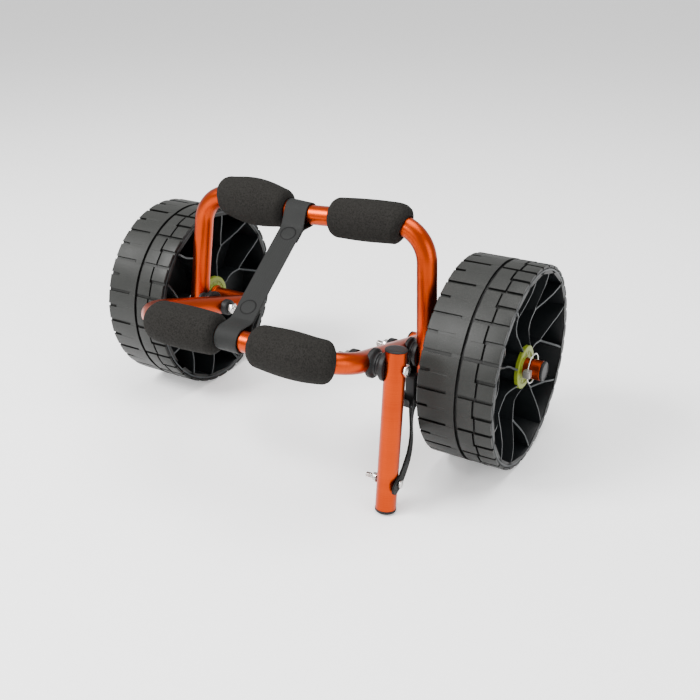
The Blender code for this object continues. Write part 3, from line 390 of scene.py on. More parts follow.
@dataclass(frozen=True)
class Finish:
    """A finish with one even colour that its grain breaks up. Other finishes add to it."""

    name: str
    slot: Slot
    colour: tuple[float, float, float]
    second: tuple[float, float, float]
    roughness: float
    spread: float = 0.08
    metallic: float = 0.0
    grain: float = 900.0
    depth: float = 0.12
    coat: float = 0.0
    sheen: float = 0.0
    shine: float = 0.5
    dust: float = 0.0

    def material(self) -> bpy.types.Material:
        """The finish's material, made on its first use."""
        found = bpy.data.materials.get(self.name)
        if found:
            return found
        material = bpy.data.materials.new(self.name)
        material.use_nodes = True
        graph = Graph(material.node_tree)
        shader = material.node_tree.nodes["Principled BSDF"]
        shader.inputs["Metallic"].default_value = self.metallic
        shader.inputs["Coat Weight"].default_value = self.coat
        shader.inputs["Coat Roughness"].default_value = 0.3
        shader.inputs["Specular IOR Level"].default_value = self.shine
        shader.inputs["Sheen Weight"].default_value = self.sheen
        shader.inputs["Sheen Roughness"].default_value = 0.6
        material.diffuse_color = (*self.colour, 1.0)
        self.dress(graph, shader)
        return material

    def dress(self, graph: Graph, shader: bpy.types.Node) -> None:
        """Feeds the shader's colour, roughness and normal.

        Args:
            graph: The material's nodes.
            shader: Its Principled shader.
        """
        place = graph.add("TexCoord").outputs["Object"]
        grain = graph.group(EFFECTS[Effect.GRAIN], Vector=place, Scale=self.grain, Depth=self.depth)
        colour = graph.mix(
            graph.ranged(grain.outputs["Value"], 0.35, 0.65, 0.0, 1.0), self.colour, self.second
        )
        rough = graph.ranged(
            grain.outputs["Broad"], 0.3, 0.7, self.roughness - self.spread, self.roughness + self.spread
        )
        self.join(graph, shader, place, colour, rough, grain.outputs["Normal"])

    def join(
        self,
        graph: Graph,
        shader: bpy.types.Node,
        place: bpy.types.NodeSocket,
        colour: bpy.types.NodeSocket,
        rough: bpy.types.NodeSocket,
        normal: bpy.types.NodeSocket,
    ) -> None:
        """Lays dust on a colour where the finish has any, and joins all three to the shader.

        Args:
            graph: The material's nodes.
            shader: Its Principled shader.
            place: The place on the piece.
            colour: The clean colour.
            rough: The roughness.
            normal: The normal.
        """
        if self.dust:
            mask = graph.group(EFFECTS[Effect.DUST], Vector=place, Amount=self.dust).outputs["Mask"]
            colour = graph.mix(mask, colour, (0.32, 0.31, 0.29))
        graph.tree.links.new(colour, shader.inputs["Base Color"])
        graph.tree.links.new(rough, shader.inputs["Roughness"])
        graph.tree.links.new(normal, shader.inputs["Normal"])


@dataclass(frozen=True)
class TubeFinish(Finish):
    """Satin anodised tube: fine rings left by the drawing, and a slow change of tone along it."""

    def dress(self, graph: Graph, shader: bpy.types.Node) -> None:
        """Feeds the shader from the tube's run as well as its grain.

        Args:
            graph: The material's nodes.
            shader: Its Principled shader.
        """
        place = graph.add("TexCoord").outputs["Object"]
        run = graph.add("Attribute", attribute_name="run").outputs["Fac"]
        fine = graph.add("TexNoise", {"W": run, "Scale": 900.0, "Detail": 2.0}, noise_dimensions="1D")
        rings = fine.outputs["Fac"]
        slow = graph.add("TexNoise", {"W": run, "Scale": 24.0, "Detail": 2.0}, noise_dimensions="1D").outputs[
            "Fac"
        ]
        height = graph.math("MULTIPLY", rings, 0.5)
        grain = graph.group(
            EFFECTS[Effect.GRAIN], Vector=place, Scale=self.grain, Depth=self.depth, Height=height
        )
        tone = graph.math("ADD", graph.math("MULTIPLY", rings, 0.35), graph.math("MULTIPLY", slow, 0.65))
        colour = graph.mix(graph.ranged(tone, 0.35, 0.65, 0.0, 1.0), self.colour, self.second)
        rough = graph.ranged(rings, 0.3, 0.7, self.roughness - self.spread, self.roughness + self.spread)
        self.join(graph, shader, place, colour, rough, grain.outputs["Normal"])


@dataclass(frozen=True)
class FoamFinish(Finish):
    """Closed-cell foam: open pores as dark specks among paler skin."""

    def dress(self, graph: Graph, shader: bpy.types.Node) -> None:
        """Feeds the shader with two sizes of pore.

        Args:
            graph: The material's nodes.
            shader: Its Principled shader.
        """
        place = graph.add("TexCoord").outputs["Object"]
        pores = graph.add("TexVoronoi", {"Vector": place, "Scale": 1500.0}, feature="F1").outputs["Distance"]
        coarse = graph.add("TexNoise", {"Vector": place, "Scale": 520.0, "Detail": 4.0, "Roughness": 0.7})
        clumps = coarse.outputs["Fac"]
        height = graph.math("ADD", graph.math("MULTIPLY", pores, 0.7), graph.math("MULTIPLY", clumps, 1.1))
        grain = graph.group(
            EFFECTS[Effect.GRAIN], Vector=place, Scale=self.grain, Depth=self.depth, Height=height
        )
        share = graph.ranged(
            graph.math("MULTIPLY", clumps, graph.ranged(pores, 0.0, 0.6, 0.7, 1.2)), 0.34, 0.64, 0.0, 1.0
        )
        colour = graph.mix(share, self.colour, self.second)
        rough = graph.ranged(clumps, 0.3, 0.7, self.roughness, self.roughness - self.spread)
        self.join(graph, shader, place, colour, rough, grain.outputs["Normal"])


@dataclass(frozen=True)
class WebbingFinish(Finish):
    """Woven webbing that follows the strap's own run and width."""

    pitch: float = 620.0
    stitch: float = 0.0
    stitch_at: float = 0.0

    def dress(self, graph: Graph, shader: bpy.types.Node) -> None:
        """Feeds the shader with the weave, a line of stitches where the strap has one, and painted shade round
        the studs.

        Args:
            graph: The material's nodes.
            shader: Its Principled shader.
        """
        place = graph.add("TexCoord").outputs["Object"]
        run = graph.add("Attribute", attribute_name="run").outputs["Fac"]
        across = graph.add("Attribute", attribute_name="across").outputs["Fac"]
        weave = graph.group(EFFECTS[Effect.WEAVE], Run=run, Across=across, Pitch=self.pitch, Depth=self.depth)
        patches = graph.add("TexNoise", {"Vector": place, "Scale": 45.0, "Detail": 3.0}).outputs["Fac"]
        tone = graph.math(
            "ADD", graph.math("MULTIPLY", weave.outputs["Shade"], 0.7), graph.math("MULTIPLY", patches, 0.4)
        )
        colour = graph.mix(tone, self.colour, self.second)
        if self.stitch:
            beat = graph.math("SINE", graph.math("MULTIPLY", run, math.tau / self.stitch))
            off = graph.math("ABSOLUTE", graph.math("SUBTRACT", across, self.stitch_at))
            mask = graph.math(
                "MULTIPLY", graph.math("LESS_THAN", off, 0.0005), graph.math("GREATER_THAN", beat, -0.2)
            )
            colour = graph.mix(mask, colour, (0.22, 0.22, 0.21))
        # Painted shade: the ring round each stud's foot is drawn near black.
        painted_ring_shade = graph.add("Attribute", attribute_name="edge").outputs["Fac"]
        colour = graph.mix(painted_ring_shade, colour, (0.0015, 0.0015, 0.0015))
        rough = graph.ranged(patches, 0.3, 0.7, self.roughness - self.spread, self.roughness + self.spread)
        self.join(graph, shader, place, colour, rough, weave.outputs["Normal"])


@dataclass(frozen=True)
class EdgedFinish(Finish):
    """Moulded plastic with a second colour from its edge mask: painted shade on the tread, paler rib tops on the
    rim.
    """

    # The edge mask's colour: near black painted shade on the tread, pale on the rim's rib tops.
    edge: tuple[float, float, float] = (0.2, 0.205, 0.2)

    def dress(self, graph: Graph, shader: bpy.types.Node) -> None:
        """Feeds the shader from the piece's edge mask.

        Args:
            graph: The material's nodes.
            shader: Its Principled shader.
        """
        place = graph.add("TexCoord").outputs["Object"]
        grain = graph.group(EFFECTS[Effect.GRAIN], Vector=place, Scale=self.grain, Depth=self.depth)
        mask = graph.add("Attribute", attribute_name="edge").outputs["Fac"]
        # Painted shade on the tread and paler rib tops on the rim, broken up by the grain.
        painted_shade_and_pale_tops = graph.math("MULTIPLY", mask, graph.ranged(grain.outputs["Value"], 0.3, 0.7, 0.7, 1.0))
        colour = graph.mix(
            graph.ranged(grain.outputs["Value"], 0.35, 0.65, 0.0, 1.0), self.colour, self.second
        )
        colour = graph.mix(painted_shade_and_pale_tops, colour, self.edge)
        rough = graph.ranged(
            grain.outputs["Broad"], 0.3, 0.7, self.roughness - self.spread, self.roughness + self.spread
        )
        self.join(graph, shader, place, colour, rough, grain.outputs["Normal"])


ORANGE = TubeFinish(
    "orange_anodised", Slot.TUBE, colour=(0.41, 0.040, 0.0004), second=(0.34, 0.030, 0.0003),
    roughness=0.34, spread=0.04, metallic=1.0, grain=1400.0, depth=0.02, coat=0.05,
)
FOAM = FoamFinish(
    "charcoal_foam", Slot.FOAM, colour=(0.0065, 0.0062, 0.0057), second=(0.0165, 0.0156, 0.0142),
    roughness=0.95, spread=0.08, metallic=0.0, grain=1500.0, depth=0.5, shine=0.06,
)
STRAP = WebbingFinish(
    "grey_webbing", Slot.WEBBING, colour=(0.0070, 0.0073, 0.0070), second=(0.0145, 0.0150, 0.0145),
    roughness=0.62, spread=0.06, metallic=0.0, grain=900.0, depth=0.35, shine=0.14,
)
CORD = WebbingFinish(
    "black_webbing", Slot.WEBBING, colour=(0.004, 0.004, 0.0042), second=(0.010, 0.0103, 0.0106),
    roughness=0.6, spread=0.06, metallic=0.0, grain=900.0, depth=0.4, shine=0.2, stitch=0.0042,
)
TREAD = EdgedFinish(
    "tread_rubber", Slot.TREAD, colour=(0.0115, 0.0121, 0.0111), second=(0.0168, 0.0175, 0.0160),
    roughness=0.46, spread=0.08, metallic=0.0, grain=1100.0, depth=0.22, shine=0.2, dust=0.06,
    # Near black painted shade on the groove walls and along the groove floors' sides; the tyre's flat sides take
    # it too.
    edge=(0.0015, 0.0015, 0.0015),
)
RIM = EdgedFinish(
    "rim_moulding", Slot.RIM, colour=(0.0035, 0.0044, 0.0050), second=(0.0065, 0.0080, 0.0088),
    roughness=0.42, spread=0.06, metallic=0.0, grain=1300.0, depth=0.1, shine=0.25,
    edge=(0.028, 0.032, 0.034),
)
LIME = Finish(
    "lime_moulding", Slot.LIME, colour=(0.125, 0.160, 0.005), second=(0.175, 0.215, 0.008),
    roughness=0.42, spread=0.06, metallic=0.0, grain=1200.0, depth=0.12, shine=0.3, dust=0.1,
)
CAP = Finish(
    "grey_end_cap", Slot.CAP, colour=(0.0085, 0.0085, 0.0088), second=(0.0135, 0.0135, 0.0138),
    roughness=0.45, spread=0.06, metallic=0.0, grain=1300.0, depth=0.15, shine=0.25,
)
BLACK = Finish(
    "black_moulding", Slot.BLACK, colour=(0.006, 0.006, 0.0063), second=(0.011, 0.011, 0.0115),
    roughness=0.45, spread=0.08, metallic=0.0, grain=1500.0, depth=0.2, shine=0.16, dust=0.05,
)
STEEL = Finish(
    "stainless_steel", Slot.STEEL, colour=(0.50, 0.49, 0.47), second=(0.60, 0.59, 0.57),
    roughness=0.26, spread=0.06, metallic=1.0, grain=1600.0, depth=0.06,
)
ZINC = Finish(
    "plated_pin", Slot.STEEL, colour=(0.20, 0.19, 0.175), second=(0.27, 0.26, 0.24),
    roughness=0.42, spread=0.08, metallic=0.55, grain=1400.0, depth=0.1,
)


# ---- Mesh work


class Work:
    """A mesh under the tools, with the lengths that its finish reads."""

    def __init__(self) -> None:
        """Starts an empty mesh."""
        self.shape = bmesh.new()
        self.run = self.shape.verts.layers.float.new("run")
        self.across = self.shape.verts.layers.float.new("across")
        self.edge = self.shape.loops.layers.float_color.new("edge")

    def stations(self, points: Sequence[Vector], scales: Sequence[float]) -> list[Matrix]:
        """Placings along a path that turn no more than the path does, each with its scale.

        Args:
            points: The path.
            scales: The scale at each point.

        Returns:
            The placings.
        """
        places = []
        way = (points[1] - points[0]).normalized()
        turn = Vector((0.0, 0.0, 1.0)).rotation_difference(way)
        for index, point in enumerate(points):
            ahead = (points[min(index + 1, len(points) - 1)] - points[max(index - 1, 0)]).normalized()
            turn = way.rotation_difference(ahead) @ turn
            way = ahead
            scale = scales[index]
            widened = Matrix.Diagonal((scale, scale, 1.0, 1.0))
            places.append(Matrix.Translation(point) @ turn.to_matrix().to_4x4() @ widened)
        return places

    def sweep(
        self, points: Sequence[Vector], radius: float, sides: int, scales: Sequence[float] | None = None
    ) -> list[bmesh.types.BMVert]:
        """Draws a round section along a path and closes both ends.

        Args:
            points: The path.
            radius: The section's radius.
            sides: The number of points round the section.
            scales: The section's scale at each point.

        Returns:
            The new vertices.
        """
        places = self.stations(points, scales or [1.0] * len(points))
        line = Line(points)
        ring = bmesh.ops.create_circle(self.shape, segments=sides, radius=radius, matrix=places[0])["verts"]
        return self.draw_out(ring, places, line.runs)

    def draw_out(
        self, ring: Sequence[bmesh.types.BMVert], places: Sequence[Matrix], runs: Sequence[float]
    ) -> list[bmesh.types.BMVert]:
        """Extrudes a ring of vertices from each placing to the next and fills both ends.

        Args:
            ring: The closed ring of vertices, at the first placing.
            places: The placings.
            runs: The distance along the piece at each placing.

        Returns:
            All the ring's vertices.
        """
        made = list(ring)
        edges = list({edge for vertex in ring for edge in vertex.link_edges})
        for vertex in ring:
            vertex[self.run] = runs[0]
        bmesh.ops.contextual_create(self.shape, geom=edges)
        for before, after, run in zip(places, places[1:], runs[1:]):
            grown = bmesh.ops.extrude_edge_only(self.shape, edges=edges)["geom"]
            fresh = [item for item in grown if isinstance(item, bmesh.types.BMVert)]
            members = set(fresh)
            edges = [
                item for item in grown if isinstance(item, bmesh.types.BMEdge) and set(item.verts) <= members
            ]
            bmesh.ops.transform(self.shape, matrix=after @ before.inverted(), verts=fresh)
            for vertex in fresh:
                vertex[self.run] = run
            made += fresh
        bmesh.ops.contextual_create(self.shape, geom=edges)
        return made

    def turned(
        self, profile: Sequence[tuple[float, float]], steps: int, place: Matrix
    ) -> list[bmesh.types.BMVert]:
        """Spins a profile of (radius, height) points about local Z into a closed shape.

        Args:
            profile: The half section. It starts and ends on the axis, or is a closed loop off it.
            steps: The number of steps in the turn.
            place: The placing of the finished shape.

        Returns:
            The new vertices.
        """
        points = [self.shape.verts.new((radius, 0.0, height)) for radius, height in profile]
        edges = [self.shape.edges.new(pair) for pair in zip(points, points[1:])]
        if profile[0][0] > 0.0:
            edges.append(self.shape.edges.new((points[-1], points[0])))
        bmesh.ops.spin(
            self.shape,
            geom=[*points, *edges],
            axis=(0.0, 0.0, 1.0),
            cent=(0.0, 0.0, 0.0),
            angle=math.tau,
            steps=steps,
            use_merge=True,
        )
        linked = set(points)
        grow = list(points)
        while grow:
            vertex = grow.pop()
            for edge in vertex.link_edges:
                other = edge.other_vert(vertex)
                if other not in linked:
                    linked.add(other)
                    grow.append(other)
        for vertex in linked:
            vertex[self.run] = vertex.co.z
        bmesh.ops.remove_doubles(self.shape, verts=list(linked), dist=1e-6)
        made = [vertex for vertex in linked if vertex.is_valid]
        bmesh.ops.transform(self.shape, matrix=place, verts=made)
        return made

    def block(
        self, low: Vector, high: Vector, bevel: float, segments: int, place: Matrix | None = None
    ) -> list[bmesh.types.BMVert]:
        """A box between two corners with rounded edges.

        Args:
            low: The lowest corner.
            high: The highest corner.
            bevel: The width of the round.
            segments: The number of steps in the round.
            place: The placing, if it isn't the origin.

        Returns:
            The box's vertices.
        """
        size = high - low
        matrix = Matrix.Translation((low + high) / 2) @ Matrix.Diagonal((*size, 1.0))
        made = bmesh.ops.create_cube(self.shape, size=1.0, matrix=matrix)["verts"]
        edges = list({edge for vertex in made for edge in vertex.link_edges})
        grown = soften(self.shape, edges, bevel, segments)
        made = list({vertex for face in grown["faces"] for vertex in face.verts})
        if place:
            bmesh.ops.transform(self.shape, matrix=place, verts=made)
        return made

    def hexagon(
        self, across_flats: float, low: float, high: float, place: Matrix, round_off: float = 0.0006
    ) -> None:
        """A hexagon head or nut on local Z, its corners turned off at both ends.

        Args:
            across_flats: The width between two flats.
            low: The lower end.
            high: The upper end.
            place: The placing.
            round_off: The width of the round.
        """
        radius = across_flats / math.sqrt(3.0)
        matrix = place @ Matrix.Translation((0.0, 0.0, (low + high) / 2))
        made = bmesh.ops.create_cone(
            self.shape,
            cap_ends=True,
            segments=6,
            radius1=radius,
            radius2=radius,
            depth=high - low,
            matrix=matrix,
        )["verts"]
        edges = {edge for vertex in made for edge in vertex.link_edges}
        soften(self.shape, list(edges), round_off, 2)

    def mark(self, test: Callable[[bmesh.types.BMFace], float]) -> None:
        """Writes each face's share of the edge mask's colour: painted shade on the tread and round the strap's
        studs, paler rib tops on the rim.

        Args:
            test: Gives each face's share, from 0 to 1.
        """
        self.shape.normal_update()
        for face in self.shape.faces:
            share = test(face)
            for loop in face.loops:
                loop[self.edge] = (share, share, share, 1.0)

    def finish(self, name: str, finish: Finish, sharp: float = 34.0) -> bpy.types.Object:
        """Makes the mesh an object with its finish.

        Args:
            name: The piece's name.
            finish: Its finish.
            sharp: The angle in degrees from which an edge stays sharp.

        Returns:
            The new object, which rides on nothing yet.
        """
        bmesh.ops.recalc_face_normals(self.shape, faces=self.shape.faces)
        mesh = bpy.data.meshes.new(name)
        self.shape.to_mesh(mesh)
        self.shape.free()
        mesh.shade_smooth()
        mesh.set_sharp_from_angle(angle=math.radians(sharp))
        mesh.materials.append(finish.material())
        obj = bpy.data.objects.new(name, mesh)
        bpy.context.scene.collection.objects.link(obj)
        return obj


def soften(
    shape: bmesh.types.BMesh, edges: Sequence[bmesh.types.BMEdge], width: float, segments: int
) -> dict[str, list[bmesh.types.BMVert | bmesh.types.BMEdge | bmesh.types.BMFace]]:
    """Rounds edges off.

    Args:
        shape: The mesh that they belong to.
        edges: The edges.
        width: How far the round reaches from each edge.
        segments: The number of steps in the round.

    Returns:
        What the operator made.
    """
    return bmesh.ops.bevel(
        shape,
        geom=edges,
        offset=width,
        offset_type="OFFSET",
        segments=segments,
        profile=0.5,
        affect="EDGES",
        clamp_overlap=True,
        material=-1,
    )


def settle(obj: bpy.types.Object, body: str, *nodes: str) -> bpy.types.Object:
    """Lets a piece ride on a body in place of its nodes, and reports it.

    Args:
        obj: The piece.
        body: The body that it rides on.
        nodes: The CAD nodes that it stands for.

    Returns:
        The piece.
    """
    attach(obj, body)
    if nodes:
        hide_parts(*nodes)
    LOG.info("%s on %s: %d faces", obj.name, body, len(obj.data.polygons))
    return obj


def carve(obj: bpy.types.Object, cutter: Work, sharp: float = 34.0) -> bpy.types.Object:
    """Cuts a piece with another shape, which is used up.

    Args:
        obj: The piece to cut.
        cutter: The shape to take away.
        sharp: The angle in degrees past which an edge shows sharp.

    Returns:
        The piece.
    """
    bmesh.ops.recalc_face_normals(cutter.shape, faces=cutter.shape.faces)
    mesh = bpy.data.meshes.new("cutter")
    cutter.shape.to_mesh(mesh)
    cutter.shape.free()
    tool = bpy.data.objects.new("cutter", mesh)
    bpy.context.scene.collection.objects.link(tool)
    cut = obj.modifiers.new("Cut", "BOOLEAN")
    cut.operation = "DIFFERENCE"
    cut.solver = "EXACT"
    cut.use_self = True
    cut.object = tool
    bpy.context.view_layer.update()
    solid = bpy.data.meshes.new_from_object(obj.evaluated_get(bpy.context.evaluated_depsgraph_get()))
    obj.modifiers.clear()
    obj.data = solid
    solid.set_sharp_from_angle(angle=math.radians(sharp))
    bpy.data.objects.remove(tool)
    return obj


# ---- Frame


@dataclass
class TubeFrame:
    """A U tube: two splayed legs, two bends and a bar that dips at its middle."""

    name: str
    node: str
    body: str
    start: Vector
    way: Vector
    low_half_width: float
    half_width: float
    tail: float
    reach: float
    dip: float
    left_bend: float = 0.045
    right_bend: float = 0.045
    dip_radius: float = 0.12
    sides: int = 48

    def leg(self, side: Side) -> tuple[Vector, Vector]:
        """The ends of a leg's centre line.

        Args:
            side: The side that the leg is on.

        Returns:
            Its free end and the bar's corner.
        """
        splay = (self.half_width - self.low_half_width) / self.reach
        free_half = self.low_half_width - splay * self.tail
        low = self.start - self.way * self.tail + RIGHTWARDS * side.value * free_half
        return low, self.start + self.way * self.reach + RIGHTWARDS * side.value * self.half_width

    def path(self) -> list[Vector]:
        """The tube's whole centre line, from the left leg's free end."""
        left_low, left = self.leg(Side.LEFT)
        right_low, right = self.leg(Side.RIGHT)
        middle = (left + right) / 2 - self.way * self.dip
        return rounded_path(
            [left_low, left, middle, right, right_low], [self.left_bend, self.dip_radius, self.right_bend], 22
        )

    def half_bar(self, side: Side) -> Line:
        """The centre line from the bar's middle out to one side."""
        path = self.path()
        middle = len(path) // 2
        return Line(path[middle:] if side is Side.RIGHT else path[middle::-1])

    def build(self) -> bpy.types.Object:
        """Draws the tube along its centre line."""
        work = Work()
        work.sweep(self.path(), TUBE, self.sides)
        return settle(work.finish(self.name, ORANGE), self.body, self.node)


@dataclass
class FoamPad:
    """A foam sleeve round a bar, with soft round ends and the bar's own bend."""

    name: str
    node: str
    body: str
    line: Line
    start: float
    length: float
    bulge: float = 0.0012
    radius: float = 0.0252
    bore: float = 0.0127
    end_radius: float = 0.0105
    sides: int = 60
    seed: float = 0.0

    def rings(self) -> list[tuple[float, float]]:
        """The sleeve's (distance, radius) pairs, from inside one mouth, over the skin and into the other."""
        mouth = []
        flat = self.radius - self.end_radius
        lip = 0.0012
        mouth += [
            (0.012, self.bore), (lip, self.bore), (0.0003, self.bore + lip * 0.7),
            (0.0, self.bore + lip * 1.6),
        ]
        for step in range(9):
            angle = math.pi / 2 * step / 8
            bulge = self.end_radius * (1.0 - math.cos(angle)) ** 0.9
            mouth.append((bulge, flat + self.end_radius * math.sin(angle)))
        inner = []
        for step in range(1, 28):
            share = step / 28
            along = self.end_radius + share * (self.length - 2 * self.end_radius)
            inner.append((along, self.radius + self.bulge * math.sin(math.pi * share)))
        far = [(self.length - along, radius) for along, radius in reversed(mouth)]
        return [*mouth, *inner, *far]

    def build(self) -> bpy.types.Object:
        """Draws the sleeve's rings along the bar and lets its skin waver a little."""
        work = Work()
        rings = self.rings()
        way = self.line.way(self.start)
        turn = Vector((0.0, 0.0, 1.0)).rotation_difference(way)
        places = []
        for along, radius in rings:
            ahead = self.line.way(self.start + along)
            turn = way.rotation_difference(ahead) @ turn
            way = ahead
            scale = radius / self.radius
            widened = Matrix.Diagonal((scale, scale, 1.0, 1.0))
            moved = Matrix.Translation(self.line.at(self.start + along))
            places.append(moved @ turn.to_matrix().to_4x4() @ widened)
        ring = bmesh.ops.create_circle(
            work.shape, segments=self.sides, radius=self.radius, matrix=places[0]
        )["verts"]
        made = work.draw_out(ring, places, [along for along, _ in rings])
        for vertex in made:
            centre = self.line.at(self.start + vertex[work.run])
            out = vertex.co - centre
            if out.length > self.radius * 0.9:
                waver = noise.noise(vertex.co * 38.0 + Vector((self.seed, 0.0, 0.0)))
                vertex.co -= out.normalized() * (0.00022 + 0.00022 * waver)
        obj = settle(work.finish(self.name, FOAM, 60.0), self.body, self.node)
        return obj


@dataclass
class StubAxle:
    """An axle tube welded to a front leg, with a rolled bead, an inner plug and an outer cap."""

    side: Side
    leg_half_width: float = 0.138
    end_x: float = 0.3066
    cap_thickness: float = 0.0035
    bead_x: float = 0.2022
    bead_height: float = 0.0024
    bead_width: float = 0.005

    def build(self) -> None:
        """Builds the axle, its weld, its plug and its cap."""
        sign = self.side.value
        start = self.leg_half_width - TUBE - 0.002
        end = self.end_x - self.cap_thickness - 0.0003
        work = Work()
        profile = [(0.0, start), (TUBE - 0.0004, start), (TUBE, start + 0.0004)]
        for step in range(9):
            share = step / 8
            height = self.bead_height * (1.0 - math.cos(math.tau * share)) / 2
            profile.append((TUBE + height, self.bead_x - self.bead_width * (1.0 - share)))
        profile += [(TUBE, end - 0.0004), (TUBE - 0.0004, end), (0.0, end)]
        work.turned(profile, 56, along_x(AXLE, sign))
        self.add_weld(work)
        settle(
            work.finish("stub_axle_tube_" + self.side.word, ORANGE), "front_frame",
            "stub_axle_" + self.side.word,
        )

        plug = Work()
        stem = start - 0.0003
        plug.turned(
            [
                (0.0, stem + 0.010), (0.0106, stem + 0.010), (0.0106, stem), (TUBE, stem),
                (TUBE, stem - 0.0014), (TUBE - 0.0011, stem - 0.0025), (0.0, stem - 0.0025),
            ],
            48, along_x(AXLE, sign),
        )
        settle(
            plug.finish("axle_inner_plug_" + self.side.word, BLACK), "front_frame",
            "axle_plug_" + self.side.word,
        )

        base = self.end_x - self.cap_thickness
        band = Work()
        band.turned(
            [(0.0095, base), (TUBE, base), (TUBE, base + 0.0017), (0.0095, base + 0.0017)], 56,
            along_x(AXLE, sign),
        )
        settle(band.finish("axle_cap_band_" + self.side.word, BLACK), "front_frame")
        cap = Work()
        face = self.end_x
        profile = [
            (0.0, base - 0.007), (0.0094, base - 0.007), (0.0094, base + 0.0018),
            (TUBE - 0.0001, base + 0.0018), (TUBE - 0.0002, face - 0.0009), (TUBE - 0.0012, face - 0.0001),
            (TUBE - 0.0022, face - 0.0001), (TUBE - 0.0028, face - 0.0006), (0.0, face - 0.0006),
        ]
        cap.turned(profile, 56, along_x(AXLE, sign))
        settle(
            cap.finish("axle_outer_cap_" + self.side.word, CAP), "front_frame", "axle_cap_" + self.side.word
        )

    def add_weld(self, work: Work) -> None:
        """Lays a rippled bead where the leg meets the axle.

        Args:
            work: The axle's shape.
        """
        up = RIGHTWARDS.cross(FRONT_WAY)
        base = AXLE + RIGHTWARDS * self.side.value * self.leg_half_width
        points = []
        scales = []
        for step in range(121):
            angle = math.tau * step / 120
            rise = math.sqrt((TUBE * math.cos(angle)) ** 2 + 0.004**2)
            out = RIGHTWARDS * math.cos(angle) + up * math.sin(angle)
            points.append(base + FRONT_WAY * rise + out * (TUBE - 0.0004))
            scales.append(1.0 + 0.12 * math.sin(30 * angle))
        work.sweep(points, 0.0021, 10, scales)


# ---- Straps


class Ribbon:
    """Webbing with a flat section, drawn along a line in its own plane and then bent to its place."""

    def __init__(self, line: Sequence[Vector], width: float, thickness: float) -> None:
        """Takes the line of the webbing's middle as (run, height) pairs."""
        self.line = Line([Vector((point.x, point.y, 0.0)) for point in line])
        self.width = width
        self.thickness = thickness

    def draw(
        self, work: Work, pitch: float, narrow: Callable[[float], float] | None = None
    ) -> list[bmesh.types.BMVert]:
        """Draws the section along the line, which leaves X as the run, Y as the height and Z as the width.

        Args:
            work: The mesh to draw in.
            pitch: The distance between sections.
            narrow: The section's share of its width at a distance from the start.

        Returns:
            The new vertices.
        """
        count = max(int(self.line.length / pitch), 8)
        runs = [self.line.length * step / count for step in range(count + 1)]
        places = []
        for run in runs:
            way = self.line.way(run, 0.0008)
            side = Vector((0.0, 0.0, 1.0))
            share = narrow(run) if narrow else 1.0
            frame_matrix = Matrix((side * share, way.cross(side), way)).transposed().to_4x4()
            places.append(Matrix.Translation(self.line.at(run)) @ frame_matrix)
        ring = bmesh.ops.create_circle(work.shape, segments=28, radius=1.0)["verts"]
        for vertex in ring:
            x, y = vertex.co.x, vertex.co.y
            vertex.co.x = math.copysign(abs(x) ** 0.30, x) * self.width / 2
            vertex.co.y = math.copysign(abs(y) ** 0.45, y) * self.thickness / 2
            vertex.co.x *= 1.0 - 0.02 * (1.0 - abs(y))
        bmesh.ops.transform(work.shape, matrix=places[0], verts=ring)
        made = work.draw_out(ring, places, runs)
        for vertex in made:
            vertex[work.across] = vertex.co.z
        return made


